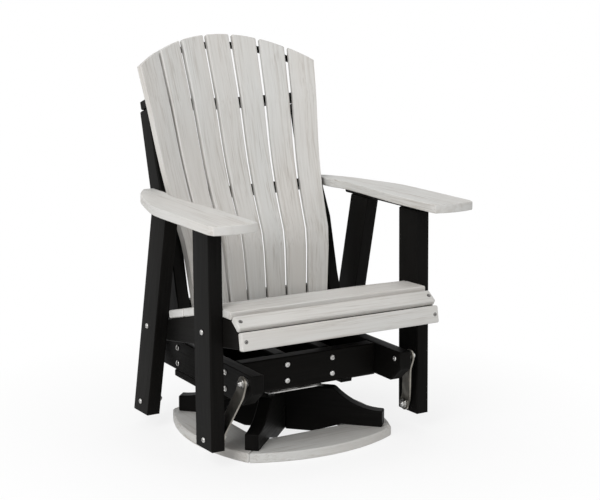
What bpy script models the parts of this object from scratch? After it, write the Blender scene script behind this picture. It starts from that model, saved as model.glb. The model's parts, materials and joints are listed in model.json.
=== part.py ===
# Swivel glider: a poly-lumber garden armchair that hangs on four swing links from a frame,
# and the frame turns on a ball swivel over a round floor ring.
# Metres, +Z up. The origin is on the swivel axis at floor level; the sitter faces -Y.
# Names say left and right as they stand in the front view, with left at -X.
import math

import bmesh
import bpy
from mathutils import Euler, Matrix, Vector

MM = 0.001

# Fits and stock
FIT_GAP = 0.3 * MM             # kept between pieces that touch
BOARD_THICK = 38 * MM          # posts, rails, beams, legs
BOARD_WIDTH = 89 * MM
BOARD_EDGE = 3 * MM            # rounded edges of every board
DECK_THICK = 22 * MM           # seat slats
TRIM_THICK = 19 * MM           # nose slat and apron
BACK_SLAT_THICK = 19 * MM
HOLE_PLAY = 0.5 * MM           # around a bolt
HOLE_SIDES = 10
MERGE_DISTANCE = 0.01 * MM
CUT_TOLERANCE = 0.001 * MM
HOLE_EDGE_PLAY = 0.1 * MM
FLAT_ANGLE = math.radians(0.1)
SHARP_ANGLE = math.radians(28)     # edges above it are rounded
SMOOTH_ANGLE = math.radians(40)    # turned pieces are smooth below it

# Floor ring: four boards mitred on the diagonals
RING_BOARD_WIDTH = 140 * MM
RING_BOARD_THICK = 27 * MM
RING_REACH = 283 * MM          # swivel axis to the middle of an outer edge
RING_BULGE = 55 * MM           # how far an outer edge bows out beyond its mitres
RING_ARC_STEPS = 10

# Legs: two boards half-lapped into a cross along the ring's diagonals
LEG_SETIN = 23.5 * MM          # a foot's end inside the ring's corner
LEG_TOP = 131 * MM             # height of the flat under the swivel
LEG_FOOT_HEIGHT = 46 * MM      # foot's end above the ring
LEG_FLAT_REACH = 158 * MM      # where the hollow top curve starts
LEG_BELLY_REACH = 101 * MM     # the belly lies on the floor this far out
LEG_CURVE_POWER = 2.3          # how quickly the top curve levels out
LEG_CURVE_STEPS = 8

# Swivel: two square plates, two races and a ring of balls
PLATE_SIDE = 178 * MM
PLATE_THICK = 3 * MM
PLATE_BORE = 38 * MM
RACE_RADIUS = 62 * MM
RACE_HALF_WIDTH = 8 * MM
RACE_TRACK_HALF_WIDTH = 2.8 * MM
RACE_WEB = 1.1 * MM            # under the ball track
RACE_HEIGHT = 3 * MM
RACE_STEPS = 24
BALL_RADIUS = 2.3 * MM
BALL_COUNT = 12
BEARING_HEIGHT = 7.4 * MM      # between the two plates
CAGE_HALF_WIDTH = 5 * MM
CAGE_THICK = 0.7 * MM

# Swivel frame
MOUNT_BOARD_THICK = 20 * MM
MOUNT_BOARD_WIDTH = 137 * MM
MOUNT_BOARD_FRONT = -110 * MM  # Y of the front mounting board's front edge
MOUNT_BOARD_SPACE = 2 * MM
FRAME_HALF_WIDTH = 252 * MM    # swivel axis to the side boards' outer faces
FRAME_HALF_LENGTH = 285 * MM
FRAME_CHAMFER_LENGTH = 46 * MM
FRAME_CHAMFER_HEIGHT = 41 * MM
BEAM_OUTER_REACH = 162 * MM    # Y of the beams' outer faces
STRINGER_CENTRE = 72 * MM
FRAME_BOLT_SPACING = 45 * MM

# Swing links
FRONT_HANGER_SETIN = 25 * MM   # front upper pivots inside the side boards' front ends
REAR_HANGER_SETIN = 48 * MM      # and the rear ones, which sets where the hung chair balances
UPPER_PIVOT_HEIGHT = 233 * MM
LINK_SPLAY = 64 * MM           # front links' lower eyes inside their upper ones, with the chair at rest
LOWER_PIVOT_HEIGHT = 76 * MM
LINK_WIDTH = 38 * MM
LINK_THICK = 5.5 * MM
LINK_TOP_FLAT = 26 * MM        # straight stretch below the upper pivot before the joggle
LINK_LOW_FLAT = 15 * MM        # and above the lower pivot after it
LINK_BEND_SHARE = 0.12         # each of the joggle's two bends, of its length
LINK_JOGGLE = 30.3 * MM        # how far the lower eye stands outside the upper one
LINK_ROUND_SIDES = 8
REAR_SLOT_LENGTH = 3.5 * MM    # play of the rear links' lower eyes, towards the swivel axis
SPACER_LENGTH = 9 * MM         # on the upper pivots, between frame and link
LOW_SPACER_LENGTH = 8 * MM     # on the lower ones, between post and link
SPACER_RADIUS = 12 * MM

# Bolts
BOLT_RADIUS = 5 * MM
BOLT_SIDES = 10
BOLT_HEAD_RADIUS = 7.5 * MM
BOLT_HEAD_HEIGHT = 4.4 * MM
BOLT_CROWN_RADIUS = 4.3 * MM
BOLT_END = 2 * MM              # thread that shows beyond its nut
NUT_RADIUS = 9.5 * MM
NUT_HEIGHT = 8 * MM
WASHER_RADIUS = 13 * MM
WASHER_THICK = 2 * MM
FRAME_BOLT_REACH = 22 * MM     # shank beyond its own board, in the next board's end

# Chair frame, in the chair's own upright frame:
# X as above, Y from the front posts' front face, Z from the posts' feet.
RECLINE = math.radians(1.4)    # the hung chair leans back this much
REAR_POST_RAKE = math.radians(14.25)
REAR_POST_HEEL = 52.6 * MM     # rear posts' rear edge at the foot behind the rear pivots
FRONT_PIVOT_RISE = 25 * MM     # lower front pivot above the post's foot

# Seat
SEAT_BOLT_RISE = 312.5 * MM    # front seat bolt above the posts' feet
SEAT_BOLT_REAR_SETIN = 55.4 * MM   # rear seat bolts ahead of the rear pivots
SEAT_RAIL_SLOPE = math.radians(8.2)
SEAT_RAIL_TAIL = 40 * MM       # behind the rear seat bolts
DECK_FRONT = -40 * MM          # Y of the first deck slat's front edge
DECK_TOP = 376.5 * MM
DECK_SLOPE = math.radians(13.1)
DECK_SLAT_SPACE = 5 * MM
NOSE_WIDTH = 42 * MM
NOSE_SLOPE = math.radians(36)
NOSE_FORWARD = 14 * MM         # nose slat's upper edge ahead of the first deck slat
NOSE_DROP = 8 * MM             # and below its top
APRON_HEIGHT = 47 * MM
APRON_LEAN = math.radians(9)
APRON_FORWARD = 9 * MM         # apron's top edge ahead of the nose slat's lower edge
APRON_DROP = 11.5 * MM

# Arms
ARM_THICK = 24 * MM
ARM_SLOPE = math.radians(1.8)
ARM_UNDER = 595.5 * MM         # height of the arms' underside at the front posts' front face
ARM_FRONT = -127 * MM
ARM_TAIL = 104 * MM            # behind the rear seat bolts
ARM_SETIN = 42 * MM            # arm's inner edge at the front inside the posts' inner faces
ARM_WIDTH = 139 * MM
ARM_FRONT_BULGE = 13 * MM
ARM_CURVE_STEPS = 3
CLEAT_THICK = 14 * MM
CLEAT_OVERHANG = 8 * MM        # ahead of the front post
CLEAT_SETIN = 11 * MM          # cleat's end ahead of the rear seat bolts
# Places along the arm, front to rear, and across it, inner to outer
ARM_OUTER_SHARES = [(0.03, 1.0), (0.28, 1.0), (0.53, 0.995), (0.70, 0.82), (0.86, 0.60), (0.965, 0.36)]
ARM_REAR_SHARES = [(1.0, 0.25), (1.0, -0.04)]
ARM_INNER_SHARES = [(0.92, -0.09), (0.79, 0.11), (0.67, 0.128), (0.46, 0.07), (0.25, 0.0), (0.03, 0.0)]
ARM_FRONT_SHARES = [0.05, 0.25, 0.5, 0.75, 0.95]

# Back: seven slats fanned and bowed, on four rails and two uprights
BACK_BOTTOM = 284 * MM         # height of the slats' lower ends
BACK_HEIGHT = 781 * MM         # lower ends to the top of the arch
BACK_FOOT_SETIN = 24 * MM      # slats' front faces at the lower end ahead of the rear seat bolts
BACK_SETBACK = 233 * MM        # how far the top lies behind the lower end
BACK_SIDE_ROOM = 12 * MM     # fan's lower end inside the uprights' inner faces
BACK_SPREAD = 81.8 * MM        # each side of the fan spreads this much up to the top of the arch
BACK_BOW_RADIUS = 772 * MM
BACK_ARCH_RADIUS = 530 * MM
BACK_SLAT_COUNT = 7
BACK_SLAT_SPACE_LOW = 7 * MM    # between the slats' lower ends
BACK_SLAT_SPACE_HIGH = 10.5 * MM    # and at the height of the arch's top
BACK_STATION_LENGTH = 62 * MM  # longest straight stretch of a bent slat
BACK_ARCH_STEPS = 5
# Height and setback of the bent profile, as shares of the back's height and setback
BACK_PROFILE_SHARES = [(0.0, 0.0), (0.13, 0.055), (0.26, 0.125), (0.39, 0.33), (0.545, 0.527),
                       (0.752, 0.721), (0.87, 0.853), (1.0, 1.0)]
BACK_RAIL_HEIGHT = 25 * MM
BACK_RAIL_DEPTH = 53 * MM
RAIL_SLAT_PLAY = 0.6 * MM      # between the rails and the slats, whose facets turn a little
UPPER_RAIL_DROP = 193 * MM     # rail's middle below the top of the arch, on the slats' front faces
MIDDLE_RAIL_RISE = 622 * MM    # heights of the other rails' middles
LOWER_RAIL_RISE = 316 * MM
UPPER_RAIL_OVERHANG = 4.6 * MM # each side of the uprights
TOP_RAIL_SETIN = 62 * MM       # arched rail's ends inside the fan's top
TOP_RAIL_DROP = 16 * MM        # arched rail's top edge below the slats' tops
TOP_RAIL_HEIGHT = 17 * MM
TOP_RAIL_DEPTH = 19 * MM
UPRIGHT_THICK = 38 * MM
UPRIGHT_RAKE = math.radians(14.9)
UPRIGHT_MARK_REACH = 158 * MM  # the uprights' rear edge lies this far behind the rear seat bolts
UPRIGHT_MARK_Z = 752 * MM      # at this height
UPRIGHT_FOOT = 217 * MM
UPRIGHT_SLAT_PLAY = 1.2 * MM   # behind the slats
UPRIGHT_STATIONS = 7

# Derived places
RING_INNER = RING_REACH - RING_BOARD_WIDTH
RING_MITRE_REACH = RING_REACH - RING_BULGE
LEG_REACH = math.sqrt(2) * RING_MITRE_REACH - LEG_SETIN
LEG_RAMP_REACH = math.sqrt(2) * RING_INNER - BOARD_THICK / 2 - FIT_GAP
LOWER_PLATE_BOTTOM = LEG_TOP + FIT_GAP
UPPER_PLATE_BOTTOM = LOWER_PLATE_BOTTOM + PLATE_THICK + BEARING_HEIGHT
MOUNT_BOTTOM = UPPER_PLATE_BOTTOM + PLATE_THICK + FIT_GAP
FRAME_BOTTOM = MOUNT_BOTTOM + MOUNT_BOARD_THICK + FIT_GAP
FRAME_INNER = FRAME_HALF_WIDTH - BOARD_THICK
FRAME_MIDDLE = FRAME_BOTTOM + BOARD_WIDTH / 2
BEAM_CENTRE = BEAM_OUTER_REACH - BOARD_THICK / 2
BEAM_INNER_REACH = BEAM_OUTER_REACH - BOARD_THICK
FRONT_HANGER_REACH = FRAME_HALF_LENGTH - FRONT_HANGER_SETIN
REAR_HANGER_REACH = FRAME_HALF_LENGTH - REAR_HANGER_SETIN
LOWER_PIVOT_REACH = FRONT_HANGER_REACH - LINK_SPLAY       # Y of all four lower pivots
LINK_TOP_X = FRAME_HALF_WIDTH + SPACER_LENGTH + 2 * FIT_GAP + LINK_THICK / 2
LINK_LOW_X = LINK_TOP_X + LINK_JOGGLE
CLEAR_HALF_WIDTH = LINK_LOW_X + LINK_THICK / 2 + LOW_SPACER_LENGTH + 2 * FIT_GAP     # to the posts
RAIL_CENTRE_X = CLEAR_HALF_WIDTH - FIT_GAP - BOARD_THICK / 2
RAIL_INNER_X = RAIL_CENTRE_X - BOARD_THICK / 2
POST_CENTRE_X = CLEAR_HALF_WIDTH + BOARD_THICK / 2
POST_OUTER_X = CLEAR_HALF_WIDTH + BOARD_THICK
UPRIGHT_CENTRE_X = RAIL_INNER_X - FIT_GAP - UPRIGHT_THICK / 2
UPRIGHT_INNER_X = UPRIGHT_CENTRE_X - UPRIGHT_THICK / 2
UPRIGHT_OUTER_X = UPRIGHT_CENTRE_X + UPRIGHT_THICK / 2
ARM_INNER = CLEAR_HALF_WIDTH - ARM_SETIN
BACK_HALF_BOTTOM = UPRIGHT_INNER_X - BACK_SIDE_ROOM
BACK_HALF_TOP = BACK_HALF_BOTTOM + BACK_SPREAD
UPPER_RAIL_RISE = BACK_BOTTOM + BACK_HEIGHT - UPPER_RAIL_DROP
UPPER_RAIL_HALF = UPRIGHT_OUTER_X + UPPER_RAIL_OVERHANG
TOP_RAIL_HALF = BACK_HALF_TOP - TOP_RAIL_SETIN
FRONT_PIVOT_Y = BOARD_WIDTH / 2
PIVOT_SPAN = 2 * LOWER_PIVOT_REACH
REAR_PIVOT_Y = FRONT_PIVOT_Y + PIVOT_SPAN * math.cos(RECLINE)
REAR_PIVOT_Z = FRONT_PIVOT_RISE + PIVOT_SPAN * math.sin(RECLINE)
REAR_POST_FOOT = REAR_PIVOT_Y + REAR_POST_HEEL
SEAT_BOLT_FRONT_Y = BOARD_WIDTH / 2
SEAT_BOLT_REAR_Y = REAR_PIVOT_Y - SEAT_BOLT_REAR_SETIN
SEAT_RAIL_END = SEAT_BOLT_REAR_Y + SEAT_RAIL_TAIL
ARM_LENGTH = SEAT_BOLT_REAR_Y + ARM_TAIL - ARM_FRONT
CLEAT_END = SEAT_BOLT_REAR_Y - CLEAT_SETIN
BACK_FOOT_Y = SEAT_BOLT_REAR_Y - BACK_FOOT_SETIN
UPRIGHT_MARK_Y = SEAT_BOLT_REAR_Y + UPRIGHT_MARK_REACH
DECK_PITCH = BOARD_WIDTH + DECK_SLAT_SPACE
DECK_BREAK_Y = DECK_FRONT + DECK_PITCH         # where the deck starts to slope
DECK_SLOPED_COUNT = math.floor((BACK_FOOT_Y - DECK_BREAK_Y) / math.cos(DECK_SLOPE) / DECK_PITCH)
SEAT_BOLT_REAR_Z = SEAT_BOLT_RISE - (SEAT_BOLT_REAR_Y - SEAT_BOLT_FRONT_Y) * math.tan(SEAT_RAIL_SLOPE)

SIDE_VIEW = Euler((math.pi / 2, 0, math.pi / 2))    # outline in Y and Z, thickness along X
FRONT_VIEW = Euler((math.pi / 2, 0, 0))             # outline in X and Z, thickness along Y
PLAN_VIEW = Euler((0, 0, 0))                        # outline in X and Y, thickness along Z


def empty_scene():
    for old in list(bpy.data.objects):
        bpy.data.objects.remove(old, do_unlink=True)


def new_collection(name):
    found = bpy.data.collections.new(name)
    bpy.context.scene.collection.children.link(found)
    return found


def new_material(name, colour, roughness, metallic):
    material = bpy.data.materials.new(name)
    material.use_nodes = True
    shader = material.node_tree.nodes["Principled BSDF"]
    shader.inputs["Base Color"].default_value = (*colour, 1.0)
    shader.inputs["Roughness"].default_value = roughness
    shader.inputs["Metallic"].default_value = metallic
    material.diffuse_color = (*colour, 1.0)
    return material


empty_scene()
PARTS = new_collection("swivel_glider")
CUTTERS = new_collection("cutters")
BLACK_POLY = new_material("black_poly", (0.016, 0.015, 0.014), 0.5, 0.0)
WOOD_POLY = new_material("weathered_poly", (0.56, 0.55, 0.53), 0.6, 0.0)
LINK_STEEL = new_material("link_steel", (0.30, 0.29, 0.28), 0.45, 0.8)
ZINC = new_material("zinc_steel", (0.55, 0.56, 0.57), 0.3, 1.0)


def add_empty(name, location, rotation, parent):
    empty = bpy.data.objects.new(name, None)
    empty.location = location
    empty.rotation_euler = rotation
    empty.parent = parent
    PARTS.objects.link(empty)
    return empty


# Moving groups hang from empties that stand on their joints' axes
SWIVEL_AXIS = add_empty("swivel_axis", (0, 0, 0), (0, 0, 0), None)
CHAIR_PIVOT = add_empty("chair_pivot", (0, -LOWER_PIVOT_REACH, LOWER_PIVOT_HEIGHT), (-RECLINE, 0, 0),
                        SWIVEL_AXIS)


def on_chair(x, y, z):
    """A place in the chair's upright frame, seen from its front pivot."""
    return Vector((x, y - FRONT_PIVOT_Y, z - FRONT_PIVOT_RISE))


def circle_points(centre_u, centre_v, radius, sides, start=0.0, sweep=2 * math.pi, closed=True):
    count = sides if closed else sides + 1
    turns = [start + sweep * step / sides for step in range(count)]
    return [(centre_u + radius * math.cos(turn), centre_v + radius * math.sin(turn)) for turn in turns]


def hole_points(hole):
    """A round hole (u, v, radius), or a slot with a fourth value, its run towards -u."""
    centre_u, centre_v, radius = hole[:3]
    run = hole[3] if len(hole) > 3 else 0.0
    ring = circle_points(centre_u, centre_v, radius, HOLE_SIDES, math.pi / HOLE_SIDES)
    return [(u - run, v) if u < centre_u else (u, v) for u, v in ring]


def flat_mesh(name, outline, thickness, holes=()):
    """A flat outline with round holes, filled and extruded, as one welded mesh."""
    curve = bpy.data.curves.new(name, "CURVE")
    curve.dimensions = "2D"
    curve.fill_mode = "BOTH"
    curve.extrude = thickness / 2
    for loop in [outline] + [hole_points(hole) for hole in holes]:
        spline = curve.splines.new("POLY")
        spline.points.add(len(loop) - 1)
        for point, (u, v) in zip(spline.points, loop):
            point.co = (u, v, 0, 1)
        spline.use_cyclic_u = True
    drawn = bpy.data.objects.new(name + "_curve", curve)
    PARTS.objects.link(drawn)
    bpy.context.view_layer.update()
    seen = drawn.evaluated_get(bpy.context.evaluated_depsgraph_get())
    mesh = bpy.data.meshes.new_from_object(seen)
    bpy.data.objects.remove(drawn, do_unlink=True)
    work = bmesh.new()
    work.from_mesh(mesh)
    bmesh.ops.remove_doubles(work, verts=work.verts, dist=MERGE_DISTANCE)
    bmesh.ops.dissolve_limit(work, angle_limit=FLAT_ANGLE, verts=work.verts, edges=work.edges)
    bmesh.ops.recalc_face_normals(work, faces=work.faces)
    work.to_mesh(mesh)
    work.free()
    mesh.name = name
    return mesh


def is_hole_edge(edge, holes):
    """True when both ends of an edge lie on one hole's wall."""
    for hole in holes:
        reach = hole[2] + (hole[3] if len(hole) > 3 else 0.0) + HOLE_EDGE_PLAY
        if all(math.hypot(v.co.x - hole[0], v.co.y - hole[1]) <= reach for v in edge.verts):
            return True
    return False


def round_edges(piece, width, segments, holes=()):
    """Bevel a board's outward edges, but not the rims of its holes."""
    work = bmesh.new()
    work.from_mesh(piece.data)
    weight = work.edges.layers.float.new("bevel_weight_edge")
    for edge in work.edges:
        outward = len(edge.link_faces) == 2 and edge.is_convex
        sharp = outward and edge.calc_face_angle() > SHARP_ANGLE
        edge[weight] = 1.0 if sharp and not is_hole_edge(edge, holes) else 0.0
    work.to_mesh(piece.data)
    work.free()
    bevel = piece.modifiers.new("rounded_edges", "BEVEL")
    bevel.limit_method = "WEIGHT"
    bevel.width = width
    bevel.segments = segments
    bevel.use_clamp_overlap = True


def place(name, mesh, material, location, rotation, parent):
    piece = bpy.data.objects.new(name, mesh)
    piece.location = location
    piece.rotation_euler = rotation
    piece.parent = parent
    mesh.materials.append(material)
    PARTS.objects.link(piece)
    return piece


def board(name, outline, thickness, material, location, rotation, parent, holes=(), segments=1):
    """A board with a flat outline and rounded edges."""
    mesh = flat_mesh(name, outline, thickness, holes)
    piece = place(name, mesh, material, location, rotation, parent)
    round_edges(piece, BOARD_EDGE, segments, holes)
    return piece


def box_outline(half_u, half_v):
    return [(-half_u, -half_v), (half_u, -half_v), (half_u, half_v), (-half_u, half_v)]


def combine(piece, fill, operation):
    """Cut a hidden shape from a piece, or join it on. fill draws it in the frame of the piece's parent."""
    work = bmesh.new()
    fill(work)
    bmesh.ops.recalc_face_normals(work, faces=work.faces)
    mesh = bpy.data.meshes.new(piece.name + "_" + operation.lower())
    work.to_mesh(mesh)
    work.free()
    tool = bpy.data.objects.new(mesh.name, mesh)
    tool.parent = piece.parent
    tool.hide_render = True
    tool.display_type = "WIRE"
    CUTTERS.objects.link(tool)
    change = piece.modifiers.new(operation.lower(), "BOOLEAN")
    change.operation = operation
    change.solver = "EXACT"
    change.object = tool


def along(start, direction):
    """Matrix that stands local Z on a start point, pointing along a direction."""
    turn = Vector(direction).to_track_quat("Z", "Y").to_matrix().to_4x4()
    return Matrix.Translation(Vector(start)) @ turn


def add_rod(work, start, direction, length, radius):
    middle = along(start, direction) @ Matrix.Translation((0, 0, length / 2))
    bmesh.ops.create_cone(work, cap_ends=True, segments=HOLE_SIDES, radius1=radius, radius2=radius,
                          depth=length, matrix=middle)


def add_turned(work, profile, matrix, steps):
    """A solid turned about the matrix's Z: the profile is a list of (radius, distance)."""
    verts = [work.verts.new((radius, 0, distance)) for radius, distance in profile]
    edges = [work.edges.new(pair) for pair in zip(verts, verts[1:])]
    if profile[0][0] > 0:
        edges.append(work.edges.new((verts[-1], verts[0])))
    before = set(work.verts) - set(verts)
    bmesh.ops.spin(work, geom=verts + edges, cent=(0, 0, 0), axis=(0, 0, 1), angle=2 * math.pi,
                   steps=steps, use_merge=True)
    turned = [vert for vert in work.verts if vert not in before]
    bmesh.ops.remove_doubles(work, verts=turned, dist=MERGE_DISTANCE)
    turned = [vert for vert in work.verts if vert not in before]
    bmesh.ops.transform(work, matrix=matrix, verts=turned)


def bolt_profile(parts):
    """Round-head bolt from its crown on: parts lists (radius, length) of the stretches past the head."""
    profile = [(0, 0), (BOLT_CROWN_RADIUS, 0), (BOLT_HEAD_RADIUS, BOLT_HEAD_HEIGHT)]
    at = BOLT_HEAD_HEIGHT
    for radius, length in parts:
        profile += [(radius, at), (radius, at + length)]
        at += length
    return profile + [(0, at)]


def nut_parts():
    """Washer, nut and the bolt's end."""
    return [(WASHER_RADIUS, WASHER_THICK), (NUT_RADIUS, NUT_HEIGHT), (BOLT_RADIUS, BOLT_END)]


def pivot_profile(spacer_length):
    """Bolt through a board, a spacer that keeps the link off it, and the link."""
    through_board = 2 * FIT_GAP + BOARD_THICK
    through_link = 2 * FIT_GAP + LINK_THICK
    parts = [(BOLT_RADIUS, through_board), (SPACER_RADIUS, spacer_length), (BOLT_RADIUS, through_link)]
    return bolt_profile(parts + nut_parts())


def head_start(seat, direction):
    """Where a bolt's crown lies when its head rests on a seat."""
    return Vector(seat) - Vector(direction) * (BOLT_HEAD_HEIGHT + FIT_GAP)


def turned_piece(name, profile, material, location, direction, parent, steps=BOLT_SIDES):
    work = bmesh.new()
    add_turned(work, profile, Matrix.Identity(4), steps)
    bmesh.ops.recalc_face_normals(work, faces=work.faces)
    mesh = bpy.data.meshes.new(name)
    work.to_mesh(mesh)
    work.free()
    mesh.shade_smooth()
    mesh.set_sharp_from_angle(angle=SMOOTH_ANGLE)
    turn = Vector(direction).to_track_quat("Z", "Y").to_euler()
    return place(name, mesh, material, location, turn, parent)


# Floor ring

def ring_board(name, quarter_turn):
    """One ring board, drawn at the front: straight inner edge, arched outer edge, mitred ends."""
    radius = (RING_MITRE_REACH ** 2 + RING_BULGE ** 2) / (2 * RING_BULGE)
    half_sweep = math.asin(RING_MITRE_REACH / radius)
    arc = circle_points(0, radius - RING_REACH, radius, RING_ARC_STEPS, -math.pi / 2 - half_sweep,
                        2 * half_sweep, closed=False)
    trim = FIT_GAP * math.sqrt(0.5)
    inner = RING_INNER - trim
    outline = [(inner, -RING_INNER), (-inner, -RING_INNER)]
    outline += [(max(v + trim, min(-v - trim, u)), v) for u, v in arc]
    board(name, outline, RING_BOARD_THICK, WOOD_POLY, (0, 0, RING_BOARD_THICK / 2), (0, 0, quarter_turn),
          None)


def build_ring():
    for step, side in enumerate(("front", "right", "rear", "left")):
        ring_board("ring_board_" + side, step * math.pi / 2)


# Cross legs

def leg_top_height(reach):
    """Height of a leg's top at a distance from the swivel axis: flat, then a hollow curve down."""
    foot_top = RING_BOARD_THICK + FIT_GAP + LEG_FOOT_HEIGHT
    share = max(0.0, (reach - LEG_FLAT_REACH) / (LEG_REACH - LEG_FLAT_REACH))
    return foot_top + (LEG_TOP - foot_top) * (1 - share) ** LEG_CURVE_POWER


def leg_outline(lap_from_below):
    """Side outline of one leg board, with its half-lap notch in the middle."""
    ring_top = RING_BOARD_THICK + FIT_GAP
    half_lap = BOARD_THICK / 2 + FIT_GAP
    lap_height = LEG_TOP / 2
    curve = [LEG_FLAT_REACH + (LEG_REACH - LEG_FLAT_REACH) * step / LEG_CURVE_STEPS
             for step in range(LEG_CURVE_STEPS + 1)]
    right_top = [(reach, leg_top_height(reach)) for reach in reversed(curve)]
    left_top = [(-reach, leg_top_height(reach)) for reach in curve]
    belly = [(-LEG_REACH, ring_top), (-LEG_RAMP_REACH, ring_top), (-LEG_BELLY_REACH, 0)]
    belly_right = [(-u, v) for u, v in reversed(belly)]
    if lap_from_below:
        edge = lap_height + FIT_GAP / 2
        notch = [(-half_lap, 0), (-half_lap, edge), (half_lap, edge), (half_lap, 0)]
        return belly + notch + belly_right + right_top + left_top
    edge = lap_height - FIT_GAP / 2
    notch = [(half_lap, LEG_TOP), (half_lap, edge), (-half_lap, edge), (-half_lap, LEG_TOP)]
    return belly + belly_right + right_top + notch + left_top


def build_legs():
    for name, turn, from_below in (("cross_leg_lower", 45, False), ("cross_leg_upper", 135, True)):
        heading = Matrix.Rotation(math.radians(turn), 4, "Z") @ FRONT_VIEW.to_matrix().to_4x4()
        board(name, leg_outline(from_below), BOARD_THICK, BLACK_POLY, (0, 0, 0), heading.to_euler(), None)


# Swivel bearing

def swivel_plate(name, bottom, race_side, parent):
    """A square bored plate, and the race that is pressed onto it: rims on both sides of a ball track."""
    mesh = flat_mesh(name, box_outline(PLATE_SIDE / 2, PLATE_SIDE / 2), PLATE_THICK, [(0, 0, PLATE_BORE)])
    plate = place(name, mesh, ZINC, (0, 0, bottom + PLATE_THICK / 2), (0, 0, 0), parent)
    inner = RACE_RADIUS - RACE_HALF_WIDTH
    outer = RACE_RADIUS + RACE_HALF_WIDTH
    track_in = RACE_RADIUS - RACE_TRACK_HALF_WIDTH
    track_out = RACE_RADIUS + RACE_TRACK_HALF_WIDTH
    root = -PLATE_THICK / 2
    profile = [(inner, root), (inner, RACE_HEIGHT), (track_in, RACE_HEIGHT), (track_in, RACE_WEB),
               (track_out, RACE_WEB), (track_out, RACE_HEIGHT), (outer, RACE_HEIGHT), (outer, root)]
    face = bottom + PLATE_THICK if race_side > 0 else bottom
    combine(plate, lambda work: add_turned(work, profile, along((0, 0, face), (0, 0, race_side)), RACE_STEPS),
            "UNION")


def build_swivel():
    swivel_plate("swivel_lower_plate", LOWER_PLATE_BOTTOM, 1, None)
    swivel_plate("swivel_upper_plate", UPPER_PLATE_BOTTOM, -1, SWIVEL_AXIS)
    height = LOWER_PLATE_BOTTOM + PLATE_THICK + BEARING_HEIGHT / 2
    half = CAGE_THICK / 2
    ring = [(RACE_RADIUS - CAGE_HALF_WIDTH, -half), (RACE_RADIUS + CAGE_HALF_WIDTH, -half),
            (RACE_RADIUS + CAGE_HALF_WIDTH, half), (RACE_RADIUS - CAGE_HALF_WIDTH, half)]
    cage = turned_piece("swivel_ball_cage", ring, ZINC, (0, 0, height), (0, 0, 1), None, RACE_STEPS)

    def balls(work):
        for u, v in circle_points(0, 0, RACE_RADIUS, BALL_COUNT):
            bmesh.ops.create_icosphere(work, subdivisions=1, radius=BALL_RADIUS,
                                       matrix=Matrix.Translation((u, v, height)))

    combine(cage, balls, "UNION")


# Swivel frame

def build_mounting_boards():
    half = MOUNT_BOARD_WIDTH / 2
    height = MOUNT_BOTTOM + MOUNT_BOARD_THICK / 2
    front = MOUNT_BOARD_FRONT + half
    for name, middle in (("mounting_board_front", front),
                         ("mounting_board_rear", front + MOUNT_BOARD_WIDTH + MOUNT_BOARD_SPACE)):
        board(name, box_outline(FRAME_HALF_WIDTH, half), MOUNT_BOARD_THICK, BLACK_POLY,
              (0, middle, height), PLAN_VIEW, SWIVEL_AXIS)


def frame_bolt_heights():
    return (FRAME_MIDDLE - FRAME_BOLT_SPACING / 2, FRAME_MIDDLE + FRAME_BOLT_SPACING / 2)


def frame_bolt(work, seat, direction):
    """Bolt through one board of the frame into the end of the next."""
    profile = bolt_profile([(BOLT_RADIUS, FIT_GAP + BOARD_THICK + FRAME_BOLT_REACH)])
    add_turned(work, profile, along(head_start(seat, direction), direction), HOLE_SIDES)


def frame_bolt_bore(work, board_end, direction):
    """Hole in a board's end for a frame bolt."""
    start = Vector(board_end) - Vector(direction) * BOLT_END
    add_rod(work, start, direction, FRAME_BOLT_REACH + 2 * BOLT_END, BOLT_RADIUS + HOLE_PLAY)


def build_frame_sides():
    end = FRAME_HALF_LENGTH
    low = FRAME_BOTTOM
    high = FRAME_BOTTOM + BOARD_WIDTH
    shoulder = end - FRAME_CHAMFER_LENGTH
    outline = [(-shoulder, low), (shoulder, low), (end, low + FRAME_CHAMFER_HEIGHT), (end, high),
               (-end, high), (-end, low + FRAME_CHAMFER_HEIGHT)]
    bore = BOLT_RADIUS + HOLE_PLAY
    holes = [(hanger_y(end), UPPER_PIVOT_HEIGHT, bore) for end in (-1, 1)]
    for side, sign in (("left", -1), ("right", 1)):
        piece = board("frame_side_" + side, outline, BOARD_THICK, BLACK_POLY,
                      (sign * (FRAME_HALF_WIDTH - BOARD_THICK / 2), 0, 0), SIDE_VIEW, SWIVEL_AXIS, holes)

        def bolts(work, sign=sign):
            for y in (-BEAM_CENTRE, BEAM_CENTRE):
                for z in frame_bolt_heights():
                    frame_bolt(work, (sign * FRAME_HALF_WIDTH, y, z), (-sign, 0, 0))

        combine(piece, bolts, "UNION")


def build_beams():
    half = FRAME_INNER - FIT_GAP
    for name, sign in (("frame_front_beam", -1), ("frame_rear_beam", 1)):
        beam = board(name, box_outline(half, BOARD_WIDTH / 2), BOARD_THICK, BLACK_POLY,
                     (0, sign * BEAM_CENTRE, FRAME_MIDDLE), FRONT_VIEW, SWIVEL_AXIS)

        def bores(work, sign=sign):
            for side in (-1, 1):
                for z in frame_bolt_heights():
                    frame_bolt_bore(work, (side * half, sign * BEAM_CENTRE, z), (-side, 0, 0))

        def bolts(work, sign=sign):
            for x in (-STRINGER_CENTRE, STRINGER_CENTRE):
                for z in frame_bolt_heights():
                    frame_bolt(work, (x, sign * BEAM_OUTER_REACH, z), (0, -sign, 0))

        combine(beam, bores, "DIFFERENCE")
        combine(beam, bolts, "UNION")


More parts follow.
